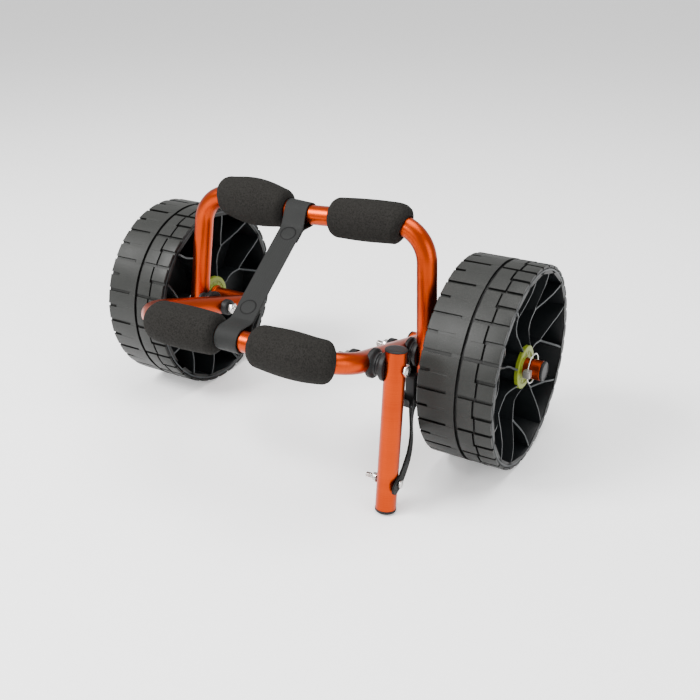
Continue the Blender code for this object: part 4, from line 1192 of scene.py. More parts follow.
@dataclass
class CentreStrap:
    """The strap between both bars: a teardrop loop at each end, each closed by a covered stud."""

    width: float = 0.0325
    thickness: float = 0.0024
    loop_gap: float = 0.0007
    throat: float = 0.0258
    tail: float = 0.047
    front_offset: float = 0.0066
    rear_offset: float = -0.0127
    stud_radius: float = 0.0104
    front_stud: float = 0.0455
    rear_stud: float = 0.0385
    front_dip: float = 0.0092
    rear_dip: float = 0.0103
    front_half_width: float = 0.1577
    rear_half_width: float = 0.1642

    def __post_init__(self) -> None:
        """Finds both bars' middles and the strap's length."""
        self.front = AXLE + FRONT_WAY * (0.2475 - self.front_dip)
        self.rear = PIVOT + REAR_WAY * (0.1587 - self.rear_dip)
        self.along = (self.rear - self.front).normalized()
        self.length = (self.rear - self.front).length

    def loop(self) -> list[Vector]:
        """The webbing's middle round the front bar, from the tail's end to the top of the throat."""
        radius = TUBE + self.loop_gap + self.thickness / 2
        half = self.thickness / 2
        start = math.acos((radius - half) / self.throat)
        angles = [start + (math.tau - 2 * start) * step / 30 for step in range(31)]
        arc = [Vector((radius * math.cos(angle), radius * math.sin(angle))) for angle in angles]
        tail = [Vector((self.tail, -half)), Vector((self.throat + 0.004, -half))]
        return [
            *tail, Vector((self.throat, -half)), *reversed(arc), Vector((self.throat, half)),
            Vector((self.throat + 0.003, half)),
        ]

    def place(self, vertex: bmesh.types.BMVert) -> None:
        """Carries a vertex from (run, height, side) to its place, bent to the dip of each bar.

        Args:
            vertex: The vertex.
        """
        run, height, side = vertex.co
        share = min(max(run / self.length, 0.0), 1.0)
        x = side + self.front_offset + (self.rear_offset - self.front_offset) * share
        reach = math.sqrt(x * x + 0.000036) - 0.006
        front = FRONT_WAY * (self.front_dip * reach / self.front_half_width)
        rear = REAR_WAY * (self.rear_dip * reach / self.rear_half_width)
        normal = RIGHTWARDS.cross(self.along)
        vertex.co = self.front + RIGHTWARDS * x + self.along * run + normal * height + front.lerp(rear, share)

    def add_stud(self, work: Work, run: float) -> None:
        """Adds a covered stud: a low round swelling inside a low ring, which the strap darkens as painted shade.

        Args:
            work: The unplaced strap.
            run: The stud's distance along it.
        """
        top = self.thickness + 0.00005
        r = self.stud_radius
        profile = [
            (0.0, 0.0010), (r * 0.5, 0.00095), (r * 0.80, 0.0007), (r * 0.90, 0.00035), (r * 0.93, 0.0001),
            (r * 1.03, 0.0001), (r * 1.05, 0.0), (r * 1.05, -0.0014), (0.0, -0.0014),
        ]
        made = work.turned(
            profile, 48, Matrix.Translation((run, top, 0.0)) @ Matrix.Rotation(-math.pi / 2, 4, "X")
        )
        for vertex in made:
            vertex[work.run] = vertex.co.x
            vertex[work.across] = vertex.co.z

    def painted_ring_shade(self, face: bmesh.types.BMFace) -> float:
        """Tells whether a face of the unplaced strap lies in the ring of painted shade round a stud.

        Args:
            face: The face.

        Returns:
            1 in a ring, and 0 elsewhere.
        """
        run, height, side = face.calc_center_median()
        if height < self.thickness + 0.00008:
            return 0.0
        reach = min(math.hypot(run - stud, side) for stud in (self.front_stud, self.length - self.rear_stud))
        return 1.0 if self.stud_radius * 0.90 < reach < self.stud_radius * 1.06 else 0.0

    def build(self) -> bpy.types.Object:
        """Draws the webbing, sets both studs and hangs the strap between the two frames."""
        front = self.loop()
        rear = [Vector((self.length - point.x, point.y)) for point in reversed(front)]
        work = Work()
        Ribbon(smoothed([*front, *rear], 2), self.width, self.thickness).draw(work, 0.0018)
        for run in (self.front_stud, self.length - self.rear_stud):
            self.add_stud(work, run)
        work.mark(self.painted_ring_shade)
        for vertex in work.shape.verts:
            self.place(vertex)
        obj = work.finish("bar_strap", STRAP, 40.0)
        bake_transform(obj)
        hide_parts("centre_strap")
        LOG.info("%s bends between the frames: %d faces", obj.name, len(obj.data.polygons))
        return obj


@dataclass
class StandStrap:
    """The narrow strap from the kickstand's foot to the lug, folded round the lug's front bar."""

    width: float = 0.016
    layer: float = 0.00135
    tongue: float = 0.015
    stand_x: float = 0.20287
    lug_low_x: float = 0.15623
    lug_thickness: float = 0.014
    lug_front: float = 0.0175
    slot_bar: float = 0.011
    slot_drop: float = 0.0515
    slack: float = 0.0080
    bolt_along: float = 0.1404

    def __post_init__(self) -> None:
        """Finds the bolt's seat, the lug and the strap's direction."""
        self.bolt = at_x(HINGE + STAND_WAY * self.bolt_along, self.stand_x)
        self.lug = at_x(PIVOT - Vector((0.0, 0.0, self.slot_drop)), self.lug_low_x + self.lug_thickness / 2)
        self.way = at_x(self.lug - self.bolt, 0.0).normalized()

    def build(self) -> bpy.types.Object:
        """Draws the doubled webbing with its fold round the bar."""
        half = self.layer / 2
        low = self.lug_low_x - 0.0006 - self.stand_x
        high = low + self.lug_thickness + 0.0012
        reach = at_x(self.lug - self.bolt, 0.0).dot(self.way)
        front = reach - (self.lug_front + self.width / 2 * self.way.z) / self.way.y - 0.0006
        back = reach - self.lug_front + self.slot_bar + 0.0006
        middle = (0.0006 + self.layer + high) / 2 + self.slack
        near = [
            (-self.tongue, 0.0006 + half), (0.010, 0.0006 + half), (front * 0.5, middle - half),
            (front - 0.008, high - half), (front - half, high - 0.003), (front - half, low + 0.001),
            (front + 0.001, low - half), (back, low - half), (back + half, low),
        ]
        far = [
            (back + half, high), (back, high + half), (front - 0.007, high + half), (
                front * 0.5, middle + half
            ),
            (0.010, 0.0006 + 3 * half), (-self.tongue, 0.0006 + 3 * half),
        ]
        line = smoothed([Vector(point) for point in (*near, *far)], 2)
        ribbon = Ribbon(line, self.width, self.layer)
        whole = ribbon.line.length
        round_end = self.width * 0.55

        def narrow(run: float) -> float:
            """The rounded tongue at both ends of the webbing."""
            left = min(run, whole - run)
            return 1.0 if left >= round_end else max(math.sqrt(1.0 - (1.0 - left / round_end) ** 2), 0.12)

        work = Work()
        ribbon.draw(work, 0.0014, narrow)
        across = RIGHTWARDS
        place = Matrix((self.way, across, self.way.cross(across))).transposed().to_4x4()
        for vertex in work.shape.verts:
            vertex.co = Matrix.Translation(self.bolt) @ place @ vertex.co
        obj = work.finish("stand_strap", CORD, 40.0)
        end = self.lug - self.way * 0.06
        tuple(self.bolt)
        tuple(at_x(end, self.lug.x))
        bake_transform(obj)
        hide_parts("limiter_strap")
        LOG.info("%s bends from the stand to the frame: %d faces", obj.name, len(obj.data.polygons))
        return obj


# ---- Wheels


@dataclass
class Wheel:
    """A moulded wheel: tyre with staggered blocks, rim with forked ribs, and two lime bushes."""

    side: Side
    turn: float = 0.0
    radius: float = 0.130
    width: float = 0.0943
    inner_x: float = 0.195
    tyre_thickness: float = 0.0036
    drum_radius: float = 0.1257
    drum_wall: float = 0.0042
    pitches: int = 18
    tread_turn: float = math.radians(15.0)
    groove: float = 0.0044
    hub_radius: float = 0.0240
    fork_radius: float = 0.0728
    rib_count: int = 7
    rib_thickness: float = 0.0024
    rib_turn: float = math.radians(107.9)

    def __post_init__(self) -> None:
        """Finds the wheel's middle and its placing."""
        self.middle = at_x(AXLE, self.side.value * (self.inner_x + self.width / 2))
        self.place = along_x(self.middle) @ Matrix.Rotation(self.turn + math.pi / 2, 4, "Z")
        self.body = "wheel_" + self.side.word

    def build(self) -> None:
        """Builds the tyre, the rim and the bushes."""
        self.build_tyre()
        self.build_rim()
        self.build_bushes()

    def build_tyre(self) -> None:
        """Builds one pitch of tread as a bent grid, raises its blocks and spins it round the wheel."""
        work = Work()
        pitch = math.tau / self.pitches
        groove = self.groove / self.radius
        # Strips of painted shade run along both sides of each groove floor.
        strip = 0.0005 / self.radius
        half_pitch = pitch / 2
        columns = [0.0, strip, groove - strip, groove]
        columns += [groove + (half_pitch - groove) * step / 4 for step in (1, 2, 3)]
        columns += [half_pitch, half_pitch + strip, half_pitch + groove - strip, half_pitch + groove]
        columns += [half_pitch + groove + (half_pitch - groove) * step / 4 for step in (1, 2, 3, 4)]
        shares = [0.0, 0.012, 0.15, 0.39, 0.512, 0.549, 0.590, 0.748, 0.769, 0.773, 0.794, 0.83, 0.988, 1.0]
        grid = bmesh.ops.create_grid(
            work.shape, x_segments=len(columns) - 1, y_segments=len(shares) - 1, size=1.0
        )["verts"]
        xs = sorted({round(vertex.co.x, 5) for vertex in grid})
        ys = sorted({round(vertex.co.y, 5) for vertex in grid})
        cell: dict[bmesh.types.BMVert, tuple[int, int]] = {}
        for vertex in grid:
            cell[vertex] = (xs.index(round(vertex.co.x, 5)), ys.index(round(vertex.co.y, 5)))
        for vertex, (column, row) in cell.items():
            vertex.co = (columns[column], shares[row], 0.0)
        faces = list(work.shape.faces)
        spots = {face: face.calc_center_median() for face in faces}
        raised = [face for face in faces if self.is_block(spots[face].x, spots[face].y, groove, half_pitch)]
        low = [face for face in faces if face not in raised]
        deep = {face for face in low if self.is_deep(spots[face].x, spots[face].y, groove)}
        floors = {vertex: self.floor_depth(vertex, deep) for vertex in grid}
        grown = bmesh.ops.extrude_face_region(work.shape, geom=raised)
        tops = [item for item in grown["geom"] if isinstance(item, bmesh.types.BMVert)]
        top_faces = [item for item in grown["geom"] if isinstance(item, bmesh.types.BMFace)]
        bmesh.ops.delete(work.shape, geom=raised, context="FACES")
        crown = set(top_faces)
        sides = {edge for face in top_faces for edge in face.edges}
        lip = {edge for edge in sides if sum(other in crown for other in edge.link_faces) == 1}
        top_set = set(tops)
        for vertex in work.shape.verts:
            angle, share, _ = vertex.co
            if vertex in top_set:
                sag = self.block_sag(angle, share, groove, pitch)
                radius = self.radius - sag
            else:
                radius = self.radius - floors.get(vertex, 0.002)
            vertex[work.run] = angle * self.radius
            vertex[work.across] = share * self.width
            vertex.co = (radius * math.cos(angle), radius * math.sin(angle), (share - 0.5) * self.width)
        edges = [edge for edge in lip if edge.is_valid and not self.on_seam(edge, pitch)]
        soften(work.shape, edges, MOULDED_EDGE, 1)
        work.mark(lambda face: self.groove_shade(face, strip, groove, half_pitch))
        bmesh.ops.rotate(
            work.shape,
            verts=work.shape.verts,
            cent=(0.0, 0.0, 0.0),
            matrix=Matrix.Rotation(self.tread_turn, 3, "Z"),
        )
        geometry = [*work.shape.verts, *work.shape.edges, *work.shape.faces]
        bmesh.ops.spin(
            work.shape,
            geom=geometry,
            axis=(0.0, 0.0, 1.0),
            cent=(0.0, 0.0, 0.0),
            angle=math.tau * (self.pitches - 1) / self.pitches,
            steps=self.pitches - 1,
            use_duplicate=True,
        )
        bmesh.ops.remove_doubles(work.shape, verts=work.shape.verts, dist=2e-5)
        self.close_tyre(work)
        bmesh.ops.transform(work.shape, matrix=self.place, verts=work.shape.verts)
        obj = work.finish("tread_" + self.side.word, TREAD, 28.0)
        settle(obj, self.body, "tyre_" + self.side.word)

    def groove_shade(self, face: bmesh.types.BMFace, strip: float, groove: float, half_pitch: float) -> float:
        """How much painted shade a face of one pitch takes: full on walls, in the round grooves and along a
        floor's sides.

        Args:
            face: The face.
            strip: The angle of the strip of painted shade along a groove's side.
            groove: The angle that a groove takes.
            half_pitch: Half the angle of a pitch.

        Returns:
            From 0, block, to 1, dark.
        """
        middle = face.calc_center_median()
        radius = middle.xy.length
        if abs(face.normal.xy.dot(middle.xy) / radius) < 0.55:
            return 1.0
        if radius > self.radius - 0.0017:
            return 0.0
        share = middle.z / self.width + 0.5
        angle = math.atan2(middle.y, middle.x)
        beside = angle if angle < half_pitch else angle - half_pitch
        in_round = 0.512 < share < 0.549 or 0.748 < share < 0.794
        return 1.0 if in_round or beside < strip or groove - strip < beside < groove else 0.1

    def is_block(self, angle: float, share: float, groove: float, half_pitch: float) -> bool:
        """Tells whether a cell of the tread's pitch is raised.

        Args:
            angle: The cell's angle in the pitch.
            share: Its place across the tread, from 0 to 1.
            groove: The angle that a groove takes.
            half_pitch: Half the angle of a pitch.

        Returns:
            True for a block.
        """
        main = angle < groove
        between = half_pitch < angle < half_pitch + groove
        if 0.512 < share < 0.549:
            return False
        if share < 0.512:
            return not (main and share < 0.39) and not (between and share < 0.15)
        jog = (0.748, 0.769) if groove < angle < half_pitch + groove else (0.773, 0.794)
        if main or jog[0] < share < jog[1]:
            return False
        return not (between and share > jog[1])

    def is_deep(self, angle: float, share: float, groove: float) -> bool:
        """Tells whether a groove's cell is cut to the carcass: the round grooves and their corners."""
        if share < 0.15 or share > 0.83 or 0.512 < share < 0.549 or 0.748 < share < 0.794:
            return True
        return angle < groove and 0.549 < share < 0.590

    def floor_depth(self, vertex: bmesh.types.BMVert, deep: set[bmesh.types.BMFace]) -> float:
        """The depth of the groove's floor at a vertex."""
        return 0.0032 if any(face in deep for face in vertex.link_faces) else 0.0025

    def block_sag(self, angle: float, share: float, groove: float, pitch: float) -> float:
        """How far a block's top lies under the full radius: its ends and its shoulder fall away.

        Args:
            angle: The angle in the pitch.
            share: The place across the tread, from 0 to 1.
            groove: The angle that a groove takes.
            pitch: The angle of a pitch.

        Returns:
            The drop.
        """
        middle = (groove + pitch) / 2
        along = abs(angle - middle) / ((pitch - groove) / 2)
        shoulder = max(0.0, 1.0 - share / 0.012) + max(0.0, 1.0 - (1.0 - share) / 0.012)
        return 0.0003 * along**2 + 0.0007 * min(shoulder, 1.0)

    def on_seam(self, edge: bmesh.types.BMEdge, pitch: float) -> bool:
        """Tells whether an edge lies where one pitch meets the next."""
        angles = [math.atan2(vertex.co.y, vertex.co.x) for vertex in edge.verts]
        return all(abs(angle - pitch) < 1e-5 or abs(angle) < 1e-5 for angle in angles)

    def close_tyre(self, work: Work) -> None:
        """Draws the tread's open rims in to the carcass and joins them inside.

        Args:
            work: The tyre's shape, its axis on local Z.
        """
        rims: dict[int, list[bmesh.types.BMEdge]] = {-1: [], 1: []}
        for edge in work.shape.edges:
            if edge.is_boundary and min(abs(vertex.co.z) for vertex in edge.verts) > self.width * 0.45:
                rims[1 if edge.verts[0].co.z > 0.0 else -1].append(edge)
        inner = self.radius - self.tyre_thickness
        loops = []
        for edges in rims.values():
            grown = bmesh.ops.extrude_edge_only(work.shape, edges=edges)["geom"]
            fresh = [item for item in grown if isinstance(item, bmesh.types.BMVert)]
            members = set(fresh)
            loops += [
                item for item in grown if isinstance(item, bmesh.types.BMEdge) and set(item.verts) <= members
            ]
            for vertex in fresh:
                vertex.co.xy = vertex.co.xy.normalized() * inner
        bmesh.ops.bridge_loops(work.shape, edges=loops)
        # The tyre's flat sides take most of the tread's edge colour.
        for face in work.shape.faces:
            if min(abs(vertex.co.z) for vertex in face.verts) > self.width * 0.499:
                for loop in face.loops:
                    loop[work.edge] = (0.8, 0.8, 0.8, 1.0)

    def edge_depth(self, radius: float) -> float:
        """The depth of a rib's edge under the wheel's face at a radius.

        Args:
            radius: The radius.

        Returns:
            The depth.
        """
        points = (
            (0.0278, 0.0084), (0.0360, 0.0128), (0.0469, 0.0168), (0.0600, 0.0170), (0.0750, 0.0150),
            (0.0880, 0.0092), (0.1020, 0.0040), (0.1150, 0.0012), (0.1245, 0.0005),
        )
        if radius <= points[0][0]:
            return points[0][1]
        for (first, low), (last, high) in zip(points, points[1:]):
            if radius <= last:
                return low + (high - low) * (radius - first) / (last - first)
        return points[-1][1]

    def add_rib(self, work: Work, run: Sequence[tuple[float, float]], turn: float) -> None:
        """Raises one curved strip of a rib through the web, from face to face.

        Args:
            work: The rim's shape, its axis on local Z.
            run: The rib's (radius, degrees) points.
            turn: The angle that it starts from.
        """
        corners = []
        for radius, degrees in run:
            angle = math.radians(degrees) + turn
            corners.append(Vector((radius * math.cos(angle), radius * math.sin(angle), 0.0)))
        points = smoothed(corners, 3)
        half = self.width / 2
        edge = None
        faces: list[bmesh.types.BMFace] = []
        for index, point in enumerate(points):
            way = (points[min(index + 1, len(points) - 1)] - points[max(index - 1, 0)]).normalized()
            side = Vector((-way.y, way.x, 0.0)) * self.rib_thickness / 2
            top = Vector((0.0, 0.0, half - self.edge_depth(point.xy.length)))
            spots = (point + side + top, point - side + top)
            if edge is None:
                edge = work.shape.edges.new([work.shape.verts.new(spot) for spot in spots])
                continue
            grown = bmesh.ops.extrude_edge_only(work.shape, edges=[edge])["geom"]
            fresh = [item for item in grown if isinstance(item, bmesh.types.BMVert)]
            faces += [item for item in grown if isinstance(item, bmesh.types.BMFace)]
            straight = (fresh[0].co - spots[0]).length + (fresh[1].co - spots[1]).length
            crossed = (fresh[0].co - spots[1]).length + (fresh[1].co - spots[0]).length
            if straight > crossed:
                fresh.reverse()
            for vertex, spot in zip(fresh, spots):
                vertex.co = spot
            members = set(fresh)
            edge = next(
                item for item in grown if isinstance(item, bmesh.types.BMEdge) and set(item.verts) <= members
            )
        grown = bmesh.ops.extrude_face_region(work.shape, geom=faces)["geom"]
        fresh = [item for item in grown if isinstance(item, bmesh.types.BMVert)]
        for vertex in fresh:
            vertex.co.z = -vertex.co.z
        island = {vertex for face in faces for vertex in face.verts} | set(fresh)
        rims = []
        for edge in {edge for vertex in island for edge in vertex.link_edges}:
            if len(edge.link_faces) != 2 or edge.verts[0].co.z * edge.verts[1].co.z <= 0.0:
                continue
            on_face = [
                face in faces or all(vertex in fresh for vertex in face.verts) for face in edge.link_faces
            ]
            if sum(on_face) == 1:
                rims.append(edge)
        soften(work.shape, rims, MOULDED_EDGE, 1)

    def is_pale(self, face: bmesh.types.BMFace) -> float:
        """Tells whether a face of the unplaced rim is an edge that looks out of the wheel, which the finish draws
        paler.

        Args:
            face: The face.

        Returns:
            1 on such an edge, and 0 elsewhere.
        """
        middle = face.calc_center_median()
        outward = abs(face.normal.z) > 0.72 and abs(middle.z) > 0.02
        return 1.0 if outward and middle.xy.length > self.hub_radius + 0.0005 else 0.0

    def build_rim(self) -> None:
        """Builds the drum, the web, the hub and the forked ribs as one moulding."""
        work = Work()
        half = self.width / 2
        inner = self.drum_radius - self.drum_wall
        lip = [
            (self.drum_radius, half - 0.0002), (self.drum_radius - 0.0008, half + 0.0001),
            (inner + 0.0016, half + 0.0001), (inner + 0.0006, half - 0.0012), (inner, half - 0.004),
            (inner - 0.0012, 0.0022), (inner - 0.003, 0.0015),
        ]
        hub = [
            (self.hub_radius, 0.0015), (0.0236, 0.004), (0.0230, half - 0.0136), (0.0222, half - 0.0129),
            (0.0164, half - 0.0129),
        ]
        upper = [*lip, *hub]
        lower = [(radius, -level) for radius, level in reversed(upper)]
        work.turned([*upper, *lower], 96, Matrix.Identity(4))
        trunk = ((0.0225, 7.5), (0.0310, 4.6), (0.0420, -1.2), (0.0560, 1.8), (self.fork_radius, 0.0))
        ahead = ((0.0720, -0.4), (0.0790, 4.5), (0.0960, 12.4), (0.1130, 15.2), (0.1235, 16.9))
        behind = ((0.0720, 0.4), (0.0790, -3.0), (0.0960, -8.6), (0.1130, -12.4), (0.1235, -14.6))
        for index in range(self.rib_count):
            turn = self.rib_turn - index * math.tau / self.rib_count
            for run in (trunk, ahead, behind):
                self.add_rib(work, run, turn)
            level = half - self.edge_depth(self.fork_radius)
            centre = Vector((self.fork_radius * math.cos(turn), self.fork_radius * math.sin(turn), 0.0))
            post = [
                (0.0, level), (0.0014, level), (0.0019, level - 0.0004), (0.0019, 0.0004 - level),
                (0.0014, -level), (0.0, -level),
            ]
            work.turned(post, 14, Matrix.Translation(centre))
        work.mark(self.is_pale)
        bmesh.ops.transform(work.shape, matrix=self.place, verts=work.shape.verts)
        settle(
            work.finish("ribbed_rim_" + self.side.word, RIM, 30.0), self.body, "wheel_rim_" + self.side.word
        )

    def build_bushes(self) -> None:
        """Builds the flanged bush on each face of the wheel."""
        depth = self.width / 2 - 0.0076 - 0.005
        flange = 0.0275
        for face, sign in (("outer", self.side.value), ("inner", -self.side.value)):
            work = Work()
            profile = [
                (0.0129, 0.0046), (0.0133, 0.005), (0.0150, 0.005), (0.0154, 0.0046), (0.0158, 0.0040), (
                    0.0205, 0.0040
                ),
                (0.0209, 0.0046), (0.0213, 0.0050), (flange - 0.0009, 0.005), (flange - 0.0002, 0.0046), (
                    flange, 0.0040
                ),
                (flange, 0.0028), (flange - 0.0007, 0.0024), (flange, 0.0020), (flange, 0.0004), (
                    flange - 0.0004, 0.0
                ),
                (0.0159, 0.0), (0.0159, -0.018), (0.0129, -0.018),
            ]
            work.turned(profile, 72, along_x(self.middle + RIGHTWARDS * sign * depth, sign))
            for step in range(12):
                angle = math.tau * step / 12
                spot = along_x(self.middle + RIGHTWARDS * sign * depth, sign) @ Matrix.Rotation(angle, 4, "Z")
                work.block(
                    Vector((0.0160, -0.0005, 0.0038)), Vector((0.0205, 0.0005, 0.0046)), 0.0002, 1, spot
                )
            settle(
                work.finish(f"flanged_bush_{face}_{self.side.word}", LIME), self.body,
                f"hub_bush_{face}_{self.side.word}",
            )


@dataclass
class LynchPin:
    """A lynch pin through the axle's end, with the wire ring that locks it."""

    side: Side
    x: float = 0.290
    head: float = 0.0095
    pin_radius: float = 0.0035
    tip: float = 0.0044
    ring_radius: float = 0.0188
    wire: float = 0.0009

    def build(self) -> None:
        """Builds the pin and its ring."""
        centre = Vector((self.side.value * self.x, AXLE.y - TUBE - 0.0003 - self.head / 2, AXLE.z))
        half = self.head / 2
        work = Work()
        work.block(centre - Vector((half, half, half)), centre + Vector((half, half, half)), 0.0012, 3)
        end = self.head / 2 + 2 * TUBE + self.tip
        r = self.pin_radius
        profile = [
            (0.0, half - 0.001), (r, half - 0.001), (r, end - 0.0032), (r * 0.86, end - 0.0015),
            (r * 0.5, end - 0.0003), (0.0, end),
        ]
        work.turned(profile, 28, facing(centre, Vector((0.0, 1.0, 0.0))))
        for sign in (-1.0, 1.0):
            collar = [(0.0, 0.0), (0.0022, 0.0), (0.0019, 0.0004), (0.0, 0.0004)]
            work.turned(
                collar, 20, facing(centre + Vector((0.0, 0.0, sign * half)), Vector((0.0, 0.0, sign)))
            )
        settle(
            work.finish("lock_pin_" + self.side.word, ZINC), "pin_" + self.side.word,
            "lynch_pin_" + self.side.word,
        )
        ring = Work()
        middle = centre + Vector((0.0, self.ring_radius, 0.0))
        circle = []
        for step in range(73):
            angle = math.tau * step / 72
            circle.append(middle + Vector((0.0, -math.cos(angle), math.sin(angle))) * self.ring_radius)
        ring.sweep(circle, self.wire, 12)
        settle(
            ring.finish("lock_ring_" + self.side.word, STEEL), "ring_" + self.side.word,
            "lynch_ring_" + self.side.word,
        )


# ---- Hardware


@dataclass
class Joint:
    """A bolted joint on X between a front leg and the tube beside it."""

    name: str
    suffix: str
    centre: Vector
    sign: float
    front_x: float
    gap: float
    outer_body: str
    outer_way: Vector
    inner_lean: float
    outer_lean: float = 0.0
    lug: bool = False
    wrap: float = 0.0046
    saddle_radius: float = 0.0175
    waist: float = 0.0132
    washer_radius: float = 0.0108
    washer: float = 0.0075
    bolt_radius: float = 0.004
    flats: float = 0.013

    def saddle(self, work: Work, seat_x: float, face_x: float) -> None:
        """Turns one waisted saddle between its seat on a tube and its flat face.

        Args:
            work: The shape that it goes into.
            seat_x: Where it sits on its tube.
            face_x: Where its flat face is.
        """
        length = abs(face_x - seat_x)
        sign = 1.0 if face_x > seat_x else -1.0
        profile = [(0.0, length), (self.waist - 0.0005, length), (self.waist, length - 0.0005)]
        for step in range(9):
            share = step / 8
            radius = self.waist + (self.saddle_radius - self.waist) * (1.0 - math.cos(math.pi * share)) / 2
            profile.append((radius, length * (0.84 - 0.42 * share)))
        profile += [(self.saddle_radius, 0.0006), (self.saddle_radius - 0.0006, 0.0), (0.0, 0.0)]
        work.turned(profile, 64, along_x(at_x(self.centre, seat_x), sign))

    def seated(self, work: Work, name: str, body: str, node: str, x: float, way: Vector) -> None:
        """Hollows a washer for the tube under it and settles it.

        Args:
            work: The washer's shape.
            name: The piece's name.
            body: The body that it rides on.
            node: The CAD node that it stands for.
            x: Where the tube's middle is.
            way: The tube's direction.
        """
        cutter = Work()
        middle = at_x(self.centre, x)
        cutter.sweep([middle - way * 0.06, middle + way * 0.06], TUBE + 0.0001, 48)
        obj = carve(work.finish(name, BLACK), cutter)
        settle(obj, body, node)

    def build(self) -> None:
        """Builds both saddles, the inner washer, the nut and the bolt."""
        sign = self.sign
        web = self.front_x + TUBE
        middle = web + self.gap / 2
        outer = web + self.gap
        front_way = (FRONT_WAY + RIGHTWARDS * sign * self.inner_lean).normalized()
        outer_way = (self.outer_way + RIGHTWARDS * sign * self.outer_lean).normalized()
        work = Work()
        self.saddle(work, sign * (web - self.wrap), sign * (middle - 0.0002))
        if self.lug:
            self.add_lug(work, middle)
        self.seated(
            work, f"{self.name}_inner_saddle{self.suffix}", "front_frame",
            f"{self.name}_saddle_front{self.suffix}", sign * self.front_x, front_way,
        )
        work = Work()
        self.saddle(work, sign * (outer + self.wrap), sign * (middle + 0.0002))
        outer_x = sign * (outer + TUBE)
        self.seated(
            work, f"{self.name}_outer_saddle{self.suffix}", self.outer_body,
            f"{self.name}_saddle_rear{self.suffix}", outer_x, outer_way,
        )
        inner = self.front_x - TUBE
        end = inner - self.washer
        r = self.washer_radius
        work = Work()
        length = self.washer + 0.0015
        profile = [
            (0.0, 0.0), (r - 0.0024, 0.0), (r - 0.0008, 0.0007), (r, 0.0024), (r, length), (0.0, length)
        ]
        work.turned(profile, 48, along_x(at_x(self.centre, sign * end), sign))
        self.seated(
            work, f"{self.name}_round_washer{self.suffix}", "front_frame",
            f"{self.name}_washer{self.suffix}", sign * self.front_x, front_way,
        )
        nut_end = end - 0.0003 - 0.0075
        place = along_x(at_x(self.centre, 0.0), sign)
        work = Work()
        work.hexagon(self.flats, nut_end + 0.0014, end - 0.0003, place, 0.0007)
        work.turned(
            [
                (0.0, nut_end + 0.0016), (0.0053, nut_end + 0.0016), (0.0050, nut_end + 0.0004),
                (0.0046, nut_end), (0.0, nut_end),
            ],
            36, place,
        )
        settle(
            work.finish(f"{self.name}_lock_nut{self.suffix}", STEEL), "front_frame",
            f"{self.name}_nut{self.suffix}",
        )
        head = outer + 2 * TUBE + 0.0005
        work = Work()
        work.hexagon(self.flats, head, head + 0.0034, place, 0.0007)
        dome = [
            (0.0, head + 0.0044), (0.0022, head + 0.0043), (0.0040, head + 0.0038), (0.0050, head + 0.0031),
            (0.0, head + 0.0031),
        ]
        work.turned(dome, 36, place)
        work.turned(thread(self.bolt_radius, nut_end - 0.0085, nut_end + 0.001), 28, place)
        settle(
            work.finish(f"{self.name}_hex_bolt{self.suffix}", STEEL), "front_frame",
            f"{self.name}_bolt{self.suffix}",
        )

    def add_lug(self, work: Work, middle: float) -> None:
        """Adds the hanger and the slotted block under the right pivot.

        Args:
            work: The saddle's shape.
            middle: Where the two saddles meet.
        """
        low_x = self.front_x + TUBE + 0.0003
        high_x = low_x + 0.014
        base = at_x(self.centre, 0.0)
        hanger = ((low_x, -0.0105, -0.0305), (middle - 0.0002, 0.0111, -0.0081), 0.0012, 3)
        front_bar = ((low_x, -0.0175, -0.068), (high_x, -0.0065, -0.0265), 0.0026, 4)
        rear_bar = ((low_x, -0.0008, -0.068), (high_x, 0.0185, -0.0265), 0.0026, 4)
        top = ((low_x + 0.0002, -0.0150, -0.0405), (high_x - 0.0002, 0.0160, -0.0268), 0.0022, 3)
        foot = ((low_x + 0.0002, -0.0150, -0.0678), (high_x - 0.0002, 0.0160, -0.0620), 0.0022, 3)
        for low, high, round_off, steps in (hanger, front_bar, rear_bar, top, foot):
            work.block(base + Vector(low), base + Vector(high), round_off, steps)


def thread(radius: float, low: float, high: float, pitch: float = 0.00125) -> list[tuple[float, float]]:
    """The half section of a threaded end on local Z, its free end low and chamfered.

    Args:
        radius: The outer radius.
        low: The free end.
        high: The end in the nut or head.
        pitch: The height of one turn.

    Returns:
        The (radius, height) points.
    """
    profile = [(0.0, low), (radius * 0.72, low), (radius * 0.86, low + 0.0006)]
    level = low + 0.0006
    while level + pitch < high:
        profile += [
            (radius, level + pitch * 0.45), (radius, level + pitch * 0.6), (radius * 0.86, level + pitch)
        ]
        level += pitch
    return [*profile, (radius * 0.86, high), (0.0, high)]


